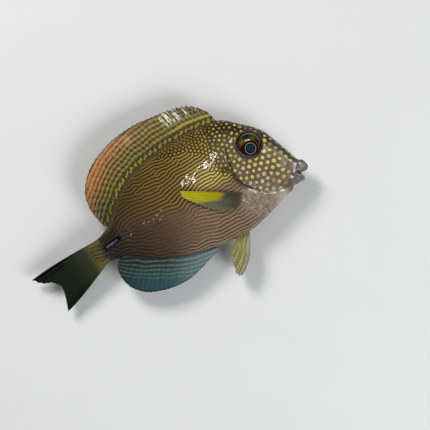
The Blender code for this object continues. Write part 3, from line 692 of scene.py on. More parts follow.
def build_skin():
    body, muzzle, pole = build_skin_grid()
    grid = np.concatenate([body, muzzle])
    rows, cols = grid.shape[:2]
    verts = np.concatenate([grid.reshape(-1, 3), pole[None], body[0].mean(0)[None]])
    i, j = np.meshgrid(np.arange(rows - 1), np.arange(cols), indexing="ij")
    k = (j + 1) % cols
    quads = np.stack([i * cols + j, (i + 1) * cols + j, (i + 1) * cols + k, i * cols + k], -1).reshape(-1, 4)
    j = np.arange(cols)
    last = (rows - 1) * cols
    tris = np.concatenate([np.stack([last + j, np.full(cols, rows * cols), last + (j + 1) % cols], 1),
                           np.stack([j, (j + 1) % cols, np.full(cols, rows * cols + 1)], 1)])
    n = point_normals(verts, quads, tris)
    # outward: the right flank's normals point to +z
    if n[(rows // 3) * cols][2] * verts[(rows // 3) * cols][2] < 0:
        quads, tris, n = quads[:, ::-1].copy(), tris[:, ::-1].copy(), -n
    side = np.where(verts[:, 2] >= 0, 1.0, -1.0)
    h = relief(verts[:, 0], verts[:, 1], side)
    fade = np.ones(len(verts))
    fade[body.shape[0] * cols:] = 0.15                       # on the lips the relief is their own
    fade[:cols * 2] = 0
    # towards the keels the side view's relief would fold over itself
    edge = np.minimum(np.abs(verts[:, 2]) / 1.6, 1)
    h = h * fade * (0.25 + 0.75 * edge)
    pressed = (verts[:, 2] < -FLANK_REST + 0.05)
    h = np.where(pressed, np.minimum(h, 0), h)
    coat = COAT_DEPTH * (1 - smooth(-0.8, 0.2, (verts[:, 0] - 36.5) * 0.795 - (verts[:, 1] + 3.9) * 0.607))
    moved = verts + n * (h - coat)[:, None]
    return verts, moved, point_normals(moved, quads, tris), quads, tris, rows, cols, body.shape[0]


# ================================================================ materials
def nodes_of(mat):
    mat.use_nodes = True
    return mat.node_tree.nodes, mat.node_tree.links


def flesh_material(name, roughness=0.46, coat=0.75, coat_rough=0.06, edge_soft=0.24, bump=0.15, bump_mm=0.02,
                   specks=0.16, alpha_from=None, spec=0.16):
    """Wet pigmented skin: ground and mark colours mixed by the mark field, with fine mottling and pores."""
    mat = bpy.data.materials.new(name)
    nodes, links = nodes_of(mat)
    shader = nodes["Principled BSDF"]
    shader.inputs["Coat Weight"].default_value = coat
    shader.inputs["Coat Roughness"].default_value = coat_rough
    shader.inputs["Coat IOR"].default_value = 1.42
    shader.inputs["Specular IOR Level"].default_value = spec

    def attribute(label):
        node = nodes.new("ShaderNodeAttribute")
        node.attribute_type, node.attribute_name = "GEOMETRY", label
        return node

    def math_node(op, a, b=None, c=None, clamp=False):
        node = nodes.new("ShaderNodeMath")
        node.operation, node.use_clamp = op, clamp
        for socket, value in zip(node.inputs, (a, b, c)):
            if value is None:
                continue
            if isinstance(value, (int, float)):
                socket.default_value = value
            else:
                links.new(value, socket)
        return node.outputs[0]

    def noise(coords, scale, detail=3.0, rough=0.55):
        node = nodes.new("ShaderNodeTexNoise")
        node.inputs["Scale"].default_value = scale
        node.inputs["Detail"].default_value = detail
        node.inputs["Roughness"].default_value = rough
        links.new(coords, node.inputs["Vector"])
        return node.outputs["Fac"]

    place = attribute("fish").outputs["Vector"]
    ground, pale = attribute("ground").outputs["Color"], attribute("pale").outputs["Color"]
    marks = attribute("marks").outputs["Fac"]
    wobble = noise(place, 2.1, 2.0)
    edge = math_node("ADD", marks, math_node("MULTIPLY", math_node("SUBTRACT", wobble, 0.5), 0.9))
    blend = nodes.new("ShaderNodeMapRange")
    blend.interpolation_type = "SMOOTHSTEP"
    links.new(edge, blend.inputs["Value"])
    blend.inputs["From Min"].default_value, blend.inputs["From Max"].default_value = -edge_soft * 2, edge_soft * 2
    mix = nodes.new("ShaderNodeMix")
    mix.data_type = "RGBA"
    links.new(blend.outputs["Result"], mix.inputs["Factor"])
    links.new(ground, mix.inputs["A"])
    links.new(pale, mix.inputs["B"])
    # pigment grains and slow mottling
    grain = noise(place, 7.0, 2.0)
    mottle = noise(place, 0.55, 3.0)
    shade = math_node("ADD", 1.0 - specks,
                      math_node("ADD", math_node("MULTIPLY", grain, specks * 1.2), math_node("MULTIPLY", mottle, specks * 0.8)))
    tint = nodes.new("ShaderNodeMix")
    tint.data_type, tint.blend_type = "RGBA", "MULTIPLY"
    tint.inputs["Factor"].default_value = 1.0
    links.new(mix.outputs["Result"], tint.inputs["A"])
    grey = nodes.new("ShaderNodeCombineColor")
    for s in ("Red", "Green", "Blue"):
        links.new(shade, grey.inputs[s])
    links.new(grey.outputs["Color"], tint.inputs["B"])
    links.new(tint.outputs["Result"], shader.inputs["Base Color"])
    # wet patches are smoother
    wet = noise(place, 0.35, 2.0)
    links.new(math_node("ADD", roughness - 0.10, math_node("MULTIPLY", wet, 0.22)), shader.inputs["Roughness"])
    # pores and tiny scale edges
    cells = nodes.new("ShaderNodeTexVoronoi")
    cells.inputs["Scale"].default_value = 3.4
    links.new(place, cells.inputs["Vector"])
    height = math_node("ADD", math_node("MULTIPLY", cells.outputs["Distance"], 0.6),
                       math_node("MULTIPLY", noise(place, 5.0, 3.0), 0.8))
    b = nodes.new("ShaderNodeBump")
    b.inputs["Strength"].default_value = bump
    b.inputs["Distance"].default_value = bump_mm * 0.001
    links.new(height, b.inputs["Height"])
    links.new(b.outputs["Normal"], shader.inputs["Normal"])
    if alpha_from:
        links.new(attribute(alpha_from).outputs["Fac"], shader.inputs["Alpha"])
    return mat


# ================================================================ body pieces
verts0, verts, normals, quads, tris, ROWS, COLS, BODY_ROWS = build_skin()


def measure_girth():
    """y measured along each section from the widest line, for every skin point."""
    grid = verts0[:ROWS * COLS].reshape(ROWS, COLS, 3)
    step = np.linalg.norm(np.roll(grid, -1, 1) - grid, axis=2)
    a = 2 * np.pi * (np.arange(COLS) + 0.5) / COLS
    out = np.zeros((ROWS, COLS))
    q = COLS // 4
    for start, order in ((0, 1), (COLS // 2, -1)):
        # start lies on the widest line of one flank, order leads up from it
        for way in (1, -1):
            k = (start - (1 if way * order < 0 else 0) + way * order * np.arange(q)) % COLS
            walk = grid[:, k]
            d = np.linalg.norm(np.diff(walk, axis=1), axis=2)
            first = 0.5 * step[:, (k[0] if way * order < 0 else (k[0] - 1)) % COLS]
            run = np.concatenate([first[:, None], first[:, None] + np.cumsum(d, axis=1)], 1)
            middle = 0.5 * (grid[:, start % COLS, 1] + grid[:, (start - 1) % COLS, 1])
            out[:, k] = middle[:, None] + way * run
    return np.concatenate([out.ravel(), verts0[ROWS * COLS:, 1]])


girth = measure_girth()
girth[BODY_ROWS * COLS:] = verts0[BODY_ROWS * COLS:, 1]
side = np.where(verts0[:, 2] >= 0, 1.0, -1.0)
ground, pale, marks = markings(verts0[:, 0], verts0[:, 1], side, girth)
# the mouth line and the crease behind the lips are dark: painted shade where the lips meet
muzzle_from = BODY_ROWS * COLS
rel = verts0[muzzle_from:] - np.array([CREASE_TOP[0], CREASE_TOP[1], 0.0])
u = rel[:, 0] * 0.795 - rel[:, 1] * 0.607
v = rel[:, 0] * 0.607 + rel[:, 1] * 0.795
dark = bell(v + 5.45 + 0.12 * (u - 1.5), 0.36) * smooth(0.3, 1.2, u)
ground[muzzle_from:] *= (1 - 0.75 * dark)[:, None]
pale[muzzle_from:] *= (1 - 0.75 * dark)[:, None]

skin = add_mesh("skin", verts, quads, tris)
put_vector(skin, "fish", verts0)
put_colour(skin, "ground", ground)
put_colour(skin, "pale", pale)
put_float(skin, "marks", marks)
flesh = flesh_material("wet_skin")
skin.data.materials.append(flesh)
# the rim of the eye socket is less glossy
skin.data.materials.append(flesh_material("socket_skin", coat=0.10, coat_rough=0.12))
middle = np.empty(len(skin.data.polygons) * 3)
skin.data.polygons.foreach_get("center", middle)
middle = middle.reshape(-1, 3)[:, :2] * 1000 - SHIFT[:2]
socket = np.hypot(middle[:, 0] - EYE_AT[0], middle[:, 1] - EYE_AT[1]) < 5.2
skin.data.polygons.foreach_set("material_index", socket.astype(np.int32))
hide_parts("head", "trunk", "tail_stalk", "gill_cover_right", "gill_cover_left", "upper_jaw", "lower_jaw")
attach(skin, "root")


# ================================================================ scales
SCALE = np.array((  # along towards the tail, across, in shares of a scale's length
    (-0.45, 0.0), (-0.12, 0.44), (0.30, 0.40), (0.55, 0.0), (0.30, -0.40), (-0.12, -0.44)))


def half_order(half):
    """Columns of one flank, from the back to the belly."""
    j = np.arange(COLS)
    a = 2 * np.pi * (j + 0.5) / COLS
    pick = j[np.cos(a) * half > 0]
    return pick[np.argsort(-np.sin(a[pick]))]


def bare(p):
    """Where scales are left out: eye, lips, nostrils, gill slit, lancet slot, pectoral base."""
    x, y = p[:, 0], p[:, 1]
    gill, share = path_distance(x, y, GILL_PATH)
    slot, _ = path_distance(x, y, np.array(((-40.2, -4.9), (-32.9, -3.2))))
    ok = np.hypot(x - EYE_AT[0], y - EYE_AT[1]) > 5.1
    ok &= (np.abs(gill) > 0.32) | (share < 0.02)
    ok &= (x - CREASE_TOP[0]) * 0.795 - (y - CREASE_TOP[1]) * 0.607 < -0.7
    ok &= np.abs(slot) > 0.75
    ok &= np.hypot(x - 28.7, y - 3.1) > 0.75
    ok &= np.hypot(x - 27.2, y - 4.0) > 0.65
    ok &= ((x - 12.0) / 1.5) ** 2 + ((y + 9.2) / 2.5) ** 2 > 1
    return ok & (x > -43.8)


def scale_roots(rows_f, pitch, half):
    grid = verts[:ROWS * COLS].reshape(ROWS, COLS, 3)
    grid_n = normals[:ROWS * COLS].reshape(ROWS, COLS, 3)
    grid_g = girth[:ROWS * COLS].reshape(ROWS, COLS, 1)
    order = half_order(half)
    out = []
    for r, rf in enumerate(rows_f):
        i = int(rf)
        a = rf - i
        line = (grid[i] * (1 - a) + grid[i + 1] * a)[order]
        nn = (grid_n[i] * (1 - a) + grid_n[i + 1] * a)[order]
        tt = (grid[i] - grid[i + 1])[order]
        gg = (grid_g[i] * (1 - a) + grid_g[i + 1] * a)[order]
        s = np.concatenate([[0], np.cumsum(np.linalg.norm(np.diff(line, axis=0), axis=1))])
        count = int(s[-1] / pitch)
        if count < 2:
            continue
        at = (np.arange(count) + 0.25 + 0.5 * (r % 2)) * (s[-1] / count)
        at = np.clip(at + RNG.normal(0, 0.06 * pitch, count), 0.01, s[-1] - 0.01)
        f = np.interp(at, s, np.arange(len(s)))
        j = np.minimum(f.astype(int), len(s) - 2)
        b = (f - j)[:, None]
        mixed = [v[j] * (1 - b) + v[j + 1] * b for v in (line, nn, tt, gg)]
        out.append(np.concatenate(mixed + [np.stack([np.full(count, 0.01 + 0.98 * rf / ROWS),
                                                     0.01 + 0.98 * at / s[-1]], 1)], 1))
    out = np.concatenate(out)
    return out[bare(out)]


def coat(name, rows, length, flesh_mat):
    """Small overlapping scales, each a thin closed solid lying tailward, joined to one mesh."""
    p, n, t, run, uv = rows[:, :3], rows[:, 3:6], rows[:, 6:9], rows[:, 9], rows[:, 10:]
    n = n / np.linalg.norm(n, axis=1, keepdims=True)
    t = t - n * (t * n).sum(1, keepdims=True)
    t = t / np.linalg.norm(t, axis=1, keepdims=True)
    c = np.cross(n, t)
    count, k = len(p), len(SCALE)
    size = length * RNG.uniform(0.9, 1.12, count)
    turn = RNG.normal(0, 0.07, count)
    cs, sn = np.cos(turn)[:, None], np.sin(turn)[:, None]
    t, c = t * cs + c * sn, c * cs - t * sn
    along, across = SCALE[:, 0], SCALE[:, 1]
    lift = 0.006 + 0.024 * smooth(-0.45, 0.55, along)
    top = (p[:, None] + t[:, None] * (along[None, :, None] * size[:, None, None])
           + c[:, None] * (across[None, :, None] * size[:, None, None]) + n[:, None] * lift[None, :, None])
    crown = p + t * (0.10 * size[:, None]) + n * 0.029
    low = top - n[:, None] * 0.035
    pts = np.concatenate([top, crown[:, None], low], 1)
    tri = []
    for a in range(k):
        b = (a + 1) % k
        tri += [(a, b, k), (a, k + 1 + a, b), (b, k + 1 + a, k + 1 + b)]
    tri = np.array(tri + [(k + 1, k + 2 + a, k + 1 + a) for a in range(1, k - 1)])
    faces = ((np.arange(count) * (2 * k + 1))[:, None, None] + tri[None]).reshape(-1, 3)
    allp = pts.reshape(-1, 3)
    q = allp[faces[0]]
    if np.dot(np.cross(q[1] - q[0], q[2] - q[0]), n[0]) < 0:
        faces = faces[:, ::-1].copy()
    ob = add_mesh(name, allp, tris=faces)
    dome = n[:, None] + 0.03 * (along[None, :, None] * t[:, None] + across[None, :, None] * c[:, None])
    lay = np.concatenate([dome, n[:, None], -n[:, None] + 0 * dome], 1).reshape(-1, 3)
    lay = lay / np.linalg.norm(lay, axis=1, keepdims=True)
    ob.data.normals_split_custom_set_from_vertices(lay.tolist())
    local = np.concatenate([SCALE, [(0.10, 0.0)], SCALE]) * 0.003
    put_uv(ob, "OFBake", per_vertex=(uv[:, None, :] + local[None]).reshape(-1, 2))
    away = pts - p[:, None]
    up_way = c * np.where(p[:, 2] >= 0, -1.0, 1.0)[:, None]
    run = run[:, None] + (away * up_way[:, None]).sum(2) + (away * t[:, None]).sum(2) * t[:, None, 1]
    g, m, mk = markings(allp[:, 0], allp[:, 1], np.where(allp[:, 2] >= 0, 1.0, -1.0), run.ravel())
    put_vector(ob, "fish", allp)
    put_colour(ob, "ground", g)
    put_colour(ob, "pale", m)
    put_float(ob, "marks", mk)
    ob.data.materials.append(flesh_mat)
    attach(ob, "root")
    print(name, count, "scales", len(faces), "triangles")


for half, word in ((1, "right"), (-1, "left")):
    body = scale_roots(np.arange(5.0, N_BODY + 3, 0.86), 0.37, half)
    middle = wide_line(body[:, 0])
    coat("coat_back_" + word, body[body[:, 1] >= middle], 0.56, flesh)
    coat("coat_belly_" + word, body[body[:, 1] < middle], 0.56, flesh)
    head = scale_roots(np.arange(N_BODY + 3.9, N_BODY + N_HEAD - 2, 1.75), 0.33, half)
    to_gill, share = path_distance(head[:, 0], head[:, 1], GILL_PATH)
    by_gill = (np.abs(to_gill) < 2.2) & (share > 0.45) & (share < 1.0) & (head[:, 0] < 29)
    by_brow = np.hypot(head[:, 0] - 28.4, head[:, 1] - 4.4) < 3.3
    coat("coat_head_" + word, head[~by_gill & ~by_brow], 0.46, flesh)
    coat("coat_brow_" + word, head[by_brow & ~by_gill], 0.46, flesh)
    coat("coat_gill_" + word, head[by_gill], 0.46, flesh)


# ================================================================ fins
def fin(name, node, base, ray_length, ray_angle, plane, rays, per_ray, rows, spines=0, sweep=None,
        notch=lambda t: 0.03, root_t=0.75, mid_t=0.15, edge_t=0.05, ray_h=0.15, sink=1.0, colour=None, alpha=None,
        wave=0.12, material=None, fork_from=0.45, root_reach=0.18):
    """A fin as one closed thin mesh: a membrane with its spines and branching rays standing out on both faces."""
    columns = (rays - 1) * per_ray
    ti = np.linspace(0, 1, columns + 1)
    ray_at = ti * (rays - 1)
    frac = ray_at - np.round(ray_at)
    vj = np.linspace(0, 1, rows + 1) ** 0.92
    bx, by = base(ti)
    length = ray_length(ti) * (1 - notch(ti) * (1 - np.cos(2 * np.pi * frac)) * 0.5)
    angle = ray_angle(ti)
    bend = sweep(ti) if sweep is not None else np.zeros_like(ti)
    sway = wave(ti)[:, None] if callable(wave) else wave
    T, V = np.meshgrid(ti, vj, indexing="ij")
    L = length[:, None] * V
    A = angle[:, None] + bend[:, None] * V * V
    start = -sink * (1 - V) ** 6
    X = bx[:, None] + (L + start) * np.cos(A)
    Y = by[:, None] + (L + start) * np.sin(A)
    F = np.broadcast_to(frac[:, None], X.shape)
    K = np.broadcast_to(ray_at[:, None], X.shape)
    spine = K < spines - 0.5
    split = np.where(spine, 0.0, 0.21 * smooth(fork_from, 1.0, V))
    ridge = np.where(spine, bell(F, 0.17), bell(np.abs(F) - split, 0.135 - 0.03 * V))
    # soft rays are jointed, the first of them hardly
    joints = np.where(spine, 0.0, 0.10 * np.sin(L * 7.5)) * (smooth(spines + 1.0, spines + 8.0, K) if spines else 1.0)
    height = np.where(spine, ray_h * 1.0 * (1 - 0.65 * V), ray_h * (1 - 0.62 * V) * (1 + joints))
    member = mid_t + (edge_t - mid_t) * smooth(0.15, 1.0, V)
    root = root_t * np.exp(-((V * np.maximum(ray_length(T), 4.0) / (root_reach * 10.0)) ** 1.3))
    half = member + height * ridge + root
    mid = plane(X, Y) + sway * np.sin(K * 2 * np.pi * 0.5) * smooth(0.1, 1.0, V) * 0.5
    mid = mid + 0.35 * np.sin(K * 0.55 + 1.1) * smooth(0.4, 1.0, V) * sway * 2
    if name.startswith("pectoral_left"):
        mid = plane(X, Y)
    up = np.stack([X, Y, mid + half], -1)
    lo = np.stack([X, Y, mid - half], -1)
    ni, nj = X.shape
    pts = np.concatenate([up.reshape(-1, 3), lo.reshape(-1, 3)])
    i, j = np.meshgrid(np.arange(ni - 1), np.arange(nj - 1), indexing="ij")
    a = (i * nj + j).ravel()
    off = ni * nj
    top = np.stack([a, a + nj, a + nj + 1, a + 1], 1)
    bottom = np.stack([a, a + 1, a + nj + 1, a + nj], 1) + off
    rim = []
    for line in (np.arange(ni) * nj, np.arange(ni)[::-1] * nj + nj - 1, np.arange(nj)[::-1], (ni - 1) * nj + np.arange(nj)):
        p, q = line[:-1], line[1:]
        rim.append(np.stack([q, p, p + off, q + off], 1))
    faces = np.concatenate([top, bottom] + rim)
    n = point_normals(pts, faces)
    if n[(ni // 2) * nj + nj // 2][2] < 0:
        faces = faces[:, ::-1].copy()
    ob = add_mesh(name, pts, faces)
    lmm = (L).ravel()
    g, m, mk = colour(X.ravel(), Y.ravel(), T.ravel(), V.ravel(), lmm, K.ravel(), F.ravel(), ridge.ravel())
    put_vector(ob, "fish", pts)
    put_colour(ob, "ground", np.concatenate([g, g]))
    put_colour(ob, "pale", np.concatenate([m, m]))
    put_float(ob, "marks", np.concatenate([mk, mk]))
    if alpha is not None:
        al = alpha(T.ravel(), V.ravel(), lmm, ridge.ravel())
        put_float(ob, "cover", np.concatenate([al, al]))
    ob.data.materials.append(material)
    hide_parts(node)
    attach(ob, "root")
    return ob


def along(knots, values, degrees=False):
    values = np.radians(values) if degrees else np.asarray(values, float)
    return lambda t: spline(knots, values, t)


def lerp(a, b, w):
    return a * (1 - w[..., None]) + b * w[..., None]


fin_mat = flesh_material("wet_fin", roughness=0.46, coat=0.60, coat_rough=0.07, edge_soft=0.30, bump=0.12,
                         bump_mm=0.02, specks=0.14, alpha_from="cover", spec=0.08)
damp_mat = flesh_material("damp_fin", roughness=0.50, coat=0.04, coat_rough=0.12, edge_soft=0.30, bump=0.12,
                          bump_mm=0.02, specks=0.14, alpha_from="cover", spec=0.08)


# ---- dorsal fin: nine spines, about twenty five soft rays, bands along the base
def slow_noise(x, y, seed, scale):
    r = np.random.default_rng(seed)
    out = np.zeros(x.shape)
    for _ in range(6):
        a, f, p = r.uniform(0, 2 * np.pi), r.uniform(0.6, 1.6) / scale, r.uniform(0, 2 * np.pi)
        out += np.sin(2 * np.pi * f * (x * math.cos(a) + y * math.sin(a)) + p)
    return out / 6


def dorsal_colour(x, y, t, v, l, k, f, ridge):
    n1 = slow_noise(x, y, 3, 7.0)
    d = l + 0.35 * n1 + 0.13 * slow_noise(x, y, 51, 1.7)
    rear = smooth(0.30, 0.85, t)
    amber = lerp(rgb(122, 106, 34), rgb(156, 101, 54), smooth(3.5, 10.0, l) * (0.25 + 0.75 * rear))
    slate = lerp(rgb(56, 54, 36), rgb(62, 56, 44), rear * smooth(2, 8, l))
    period = 1.75 - 0.32 * smooth(0.35, 0.95, t)
    bands = np.cos(2 * np.pi * (d - 2.95) / period)
    # rays break the pale bands into blocks, most in the rear half
    blocks = -0.75 * bell(np.abs(f) - 0.5, 0.17) * smooth(0.25, 0.5, t) * smooth(11.0, 6.0, l)
    field = bands * (1.0 + 0.55 * slow_noise(x, y, 52, 4.2)) + blocks + 0.10 + 0.45 * rear * smooth(4.0, 10.0, l)
    field = field + 0.30 * slow_noise(x, y, 53, 1.3)
    # first row: separate large yellow blotches above the plain line
    lean = x - 0.35 * (y - back(x))
    lean = lean + 0.55 * slow_noise(x, y, 12, 3.5)
    blotch = 0.80 * np.cos(2 * np.pi * lean / 2.15) + 1.6 * bell(d - 1.15 - 0.35 * slow_noise(x, y, 15, 2.0), 0.42) - 1.15 + 0.8 * slow_noise(x, y, 14, 1.6)
    blotch = blotch + 0.5 * smooth(0.35, 0.7, t) * bell(d - 1.9, 0.5)
    field = np.where(d < 2.05, np.maximum(blotch, field * smooth(1.75, 2.05, d) - 1.5 * smooth(2.05, 1.75, d)), field)
    amber = lerp(amber, rgb(136, 122, 32), smooth(2.3, 1.9, d))
    # outer part plainer and browner, dark thin rim
    outer = smooth(0.68, 0.88, v) * smooth(0.2, 0.5, t)
    late = smooth(0.42, 0.60, t + 0.05 * n1)
    slate = lerp(slate, lerp(rgb(78, 58, 28), rgb(104, 74, 44), late), outer * 0.75)
    amber = lerp(amber, lerp(rgb(112, 82, 38), rgb(164, 112, 68), late), outer * 0.75)
    # blotchy behind, with one pale spot near the edge
    worn = 1 + smooth(0.28, 0.50, t) * (0.30 * slow_noise(x, y, 61, 1.9) + 0.26 * slow_noise(x, y, 62, 0.9)) - 0.06 * smooth(0.75, 0.45, v)
    slate, amber = slate * worn[:, None], amber * worn[:, None]
    spot = 0.6 * bell(np.hypot(x + 16.1, 0.8 * (y - 27.2)) + 0.5 * n1, 1.1)
    slate, amber = lerp(slate, rgb(140, 108, 76), spot), lerp(amber, rgb(190, 148, 104), spot)
    base = smooth(0.75, 0.25, l)
    tail_end = smooth(0.78, 0.95, t)
    slate, amber = lerp(slate, rgb(46, 42, 30), tail_end * 0.7), lerp(amber, rgb(84, 74, 44), tail_end * 0.7)
    g = lerp(slate, rgb(64, 54, 34), base)
    m = lerp(amber, rgb(68, 58, 36), base)
    front = smooth(0.34, 0.12, t) * smooth(3.2, 6.0, l)
    g = lerp(g, rgb(34, 32, 24), front * 0.9)
    m = lerp(m, rgb(72, 64, 34), front * 0.85)
    near = smooth(0.36, 0.20, t) * smooth(4.4, 3.2, l) * smooth(1.9, 2.2, l)
    m = lerp(m, rgb(150, 132, 34), near * 0.8)
    rim = smooth(0.955, 0.99, v)
    g, m = lerp(g, rgb(34, 26, 20), rim * 0.8), lerp(m, rgb(34, 26, 20), rim * 0.8)
    # pale fine rays; on the front spines the stronger paleness is also a painted highlight of wet glints
    pr = ridge * smooth(1.5, 4.0, l) * np.where(t < 0.25, 0.40, 0.12)
    g, m = lerp(g, rgb(150, 140, 108), pr), lerp(m, rgb(168, 146, 92), pr)
    return g, m, np.clip(field * 1.4, -3, 3)


def dorsal_alpha(t, v, l, ridge):
    return np.clip(1.0 - 0.05 * smooth(0.35, 0.9, v) * (1 - 0.6 * ridge), 0, 1)


D_LEN = along((0, 0.06, 0.16, 0.30, 0.45, 0.60, 0.75, 0.84, 0.91, 0.96, 1.0),
              (4.6, 8.6, 10.3, 11.0, 12.6, 13.3, 13.2, 12.0, 8.6, 4.6, 1.0))
D_ANG = along((0, 0.30, 0.50, 0.66, 0.80, 0.90, 1.0), (109, 111, 118, 128, 142, 155, 165), True)
dorsal = fin("dorsal_fin_detail", "dorsal_fin",
    lambda t: (15.6 - 50.9 * t, back(15.6 - 50.9 * t) + 0.1), D_LEN, D_ANG, lambda x, y: 0 * x,
    rays=35, per_ray=8, rows=64, spines=9, notch=lambda t: 0.015 + 0.075 * smooth(0.27, 0.16, t),
    ray_h=0.11, root_t=1.0, sink=1.4, colour=dorsal_colour, alpha=dorsal_alpha, material=fin_mat,
    wave=lambda t: 0.05 + 0.33 * smooth(0.32, 0.14, t))
# wet in front, only damp behind
dorsal.data.materials.append(damp_mat)
middle = np.empty(len(dorsal.data.polygons) * 3)
dorsal.data.polygons.foreach_get("center", middle)
middle = middle.reshape(-1, 3)[:, :2] * 1000 - np.array(SHIFT[:2])
behind = (middle[:, 0] < -2.5) | (middle[:, 1] - back(middle[:, 0]) < 5.0)
dorsal.data.polygons.foreach_set("material_index", behind.astype(np.int32))


# ---- anal fin: three spines, about twenty three soft rays
def anal_colour(x, y, t, v, l, k, f, ridge):
    d = l + 0.25 * slow_noise(x, y, 9, 8.0) + 0.5 * smooth(0.3, 0.0, t)
    teal = lerp(rgb(30, 48, 48), rgb(38, 64, 69), smooth(1, 7, l))
    teal = lerp(teal, rgb(24, 38, 41), smooth(0.60, 1.0, t))
    teal = lerp(teal, rgb(86, 108, 116), smooth(0.60, 0.12, t) * 0.9)
    gold = lerp(rgb(78, 88, 70), rgb(66, 88, 82), smooth(3.0, 8.0, l))
    gold = lerp(gold, rgb(46, 56, 44), smooth(0.6, 1.0, t) * 0.7)
    gold = lerp(gold, rgb(120, 130, 114), smooth(0.60, 0.12, t) * 0.85)
    bands = np.cos(2 * np.pi * (d - 1.35) / 1.40) * smooth(9.5, 7.0, d) - 0.42 - 1.6 * smooth(6.6, 8.4, d)
    bands = bands + 0.5 * slow_noise(x * 2, y * 2, 17, 4.0)
    g, m = teal, gold
    base = smooth(0.8, 0.1, l)
    g, m = lerp(g, rgb(58, 50, 40), base), lerp(m, rgb(66, 58, 44), base)
    rim = smooth(0.945, 0.985, v)
    g, m = lerp(g, rgb(10, 14, 18), rim * 0.92), lerp(m, rgb(10, 14, 18), rim * 0.92)
    pr = ridge * 0.10 * smooth(1, 4, l)
    g, m = lerp(g, rgb(92, 116, 118), pr), lerp(m, rgb(120, 128, 96), pr)
    return g, m, np.clip(bands * 1.5, -3, 3)


A_LEN = along((0, 0.10, 0.22, 0.38, 0.55, 0.68, 0.79, 0.88, 0.95, 1.0),
              (1.6, 3.6, 6.1, 9.2, 11.4, 12.1, 11.0, 8.2, 4.6, 1.4))
A_ANG = along((0, 0.25, 0.50, 0.70, 0.85, 1.0), (-122, -114, -120, -127, -140, -160), True)
fin("anal_fin_detail", "anal_fin",
    lambda t: (-2.5 - 33.5 * t, belly(-2.5 - 33.5 * t) - 0.1), A_LEN, A_ANG, lambda x, y: 0 * x,
    rays=27, per_ray=8, rows=52, spines=3, notch=lambda t: 0.012 + 0.05 * smooth(0.15, 0.05, t),
    ray_h=0.10, root_t=0.95, sink=1.2, colour=anal_colour, alpha=lambda t, v, l, r: 1 - 0.015 * smooth(0.5, 1, v),
    material=fin_mat, wave=0.14)


# ---- tail fin
def caudal_colour(x, y, t, v, l, k, f, ridge):
    olive = rgb(94, 88, 46)
    mid = lerp(rgb(48, 49, 35), rgb(18, 23, 18), smooth(0.15, 0.75, v))
    lobes = smooth(0.22, 0.0, t) + smooth(0.72, 1.0, t)
    g = lerp(mid, rgb(3, 8, 5), np.clip(lobes, 0, 1) * smooth(0.2, 0.7, v) * 0.95)
    band = smooth(6.0, 2.6, l)
    g = lerp(g, olive, band * 0.9)
    pr = ridge * 0.20 * smooth(2, 6, l)
    m = lerp(g, rgb(70, 74, 60), pr * 1.6)
    g = lerp(g, rgb(60, 64, 52), pr)
    rim = np.clip(smooth(0.965, 0.995, v) + smooth(0.03, 0.0, t) + smooth(0.97, 1.0, t), 0, 1)
    g, m = lerp(g, rgb(12, 14, 12), rim * 0.9), lerp(m, rgb(12, 14, 12), rim * 0.9)
    return g, m, np.clip(1.2 * slow_noise(x, y * 3, 21, 3.0) - 0.2 + band * 0.8, -3, 3)


fin("caudal_fin_detail", "caudal_fin",
    lambda t: (-41.4 - 0.13 * (4.45 - 8.85 * t), -0.75 - 8.85 * t),
    along((0, 0.10, 0.22, 0.40, 0.60, 0.80, 1.0), (26.8, 24.2, 21.1, 19.4, 20.0, 21.4, 23.0)),
    along((0, 0.10, 0.22, 0.40, 0.60, 0.80, 1.0), (183.6, 189.6, 193.2, 198.8, 201.9, 205.4, 208.6), True),
    lambda x, y: 0 * x, rays=19, per_ray=12, rows=60, spines=0,
    sweep=along((0, 0.3, 1.0), (3.0, 0.5, -2.8), True), notch=lambda t: 0.015 + 0 * t,
    root_t=1.1, sink=1.5, ray_h=0.10, colour=caudal_colour, alpha=lambda t, v, l, r: 1 - 0.012 * smooth(0.4, 1, v),
    material=fin_mat, wave=0.18, fork_from=0.25, root_reach=0.30)


# ---- pectoral fins
def pectoral_plane(sign, clear, lift):
    def plane(x, y):
        body = body_half(np.minimum(x, 13.0), y)
        z = np.abs(resting_z(x, y, sign * np.maximum(body, 4.6)))
        away = np.clip((12.4 - x) / 16.0, 0, 1)
        return sign * (z + clear + lift * away)
    return plane


def pectoral_colour(x, y, t, v, l, k, f, ridge):
    dark = rgb(76, 63, 48)
    grey = rgb(84, 84, 70)
    yellow = rgb(162, 152, 14)
    g = lerp(np.broadcast_to(rgb(116, 96, 80), x.shape + (3,)), dark, smooth(0.3, 1.8, l))
    g = lerp(g, rgb(62, 60, 46), smooth(1.2, 3.6, l))
    g = lerp(g, grey, smooth(2.5, 9.0, l) * smooth(0.15, 0.5, t))
    patch = smooth(0.24, 0.44, v - 0.55 * np.abs(t - 0.12)) * smooth(0.52, 0.30, t)
    g = lerp(g, yellow, patch)
    pr = ridge * 0.34 * smooth(0.12, 0.5, v) * smooth(0.25, 0.6, t)
    g = lerp(g, rgb(160, 162, 130), pr)
    g = lerp(g, rgb(92, 88, 8), (1 - ridge) * patch * 0.62)
    g = lerp(g, rgb(196, 190, 52), ridge * patch * 0.45)
    g = lerp(g, rgb(40, 42, 34), (1 - ridge) * (1 - patch) * 0.38 * smooth(0.3, 0.6, v))
    tip = smooth(0.97, 1.0, v)
    g = lerp(g, rgb(200, 196, 150), tip * 0.4)
    top = smooth(0.035, 0.0, t) * smooth(0.95, 0.3, v)
    g = lerp(g, rgb(90, 84, 50), top * 0.7)
    return g, g * 1.06, np.clip(slow_noise(x, y, 31, 2.0) * 2, -3, 3)


def pectoral_alpha(t, v, l, ridge):
    clear = smooth(0.30, 0.75, t) * smooth(0.2, 0.6, v)
    return np.clip((0.97 - 0.42 * clear * (1 - 0.8 * ridge)) * smooth(0.0, 1.7, l), 0, 1)


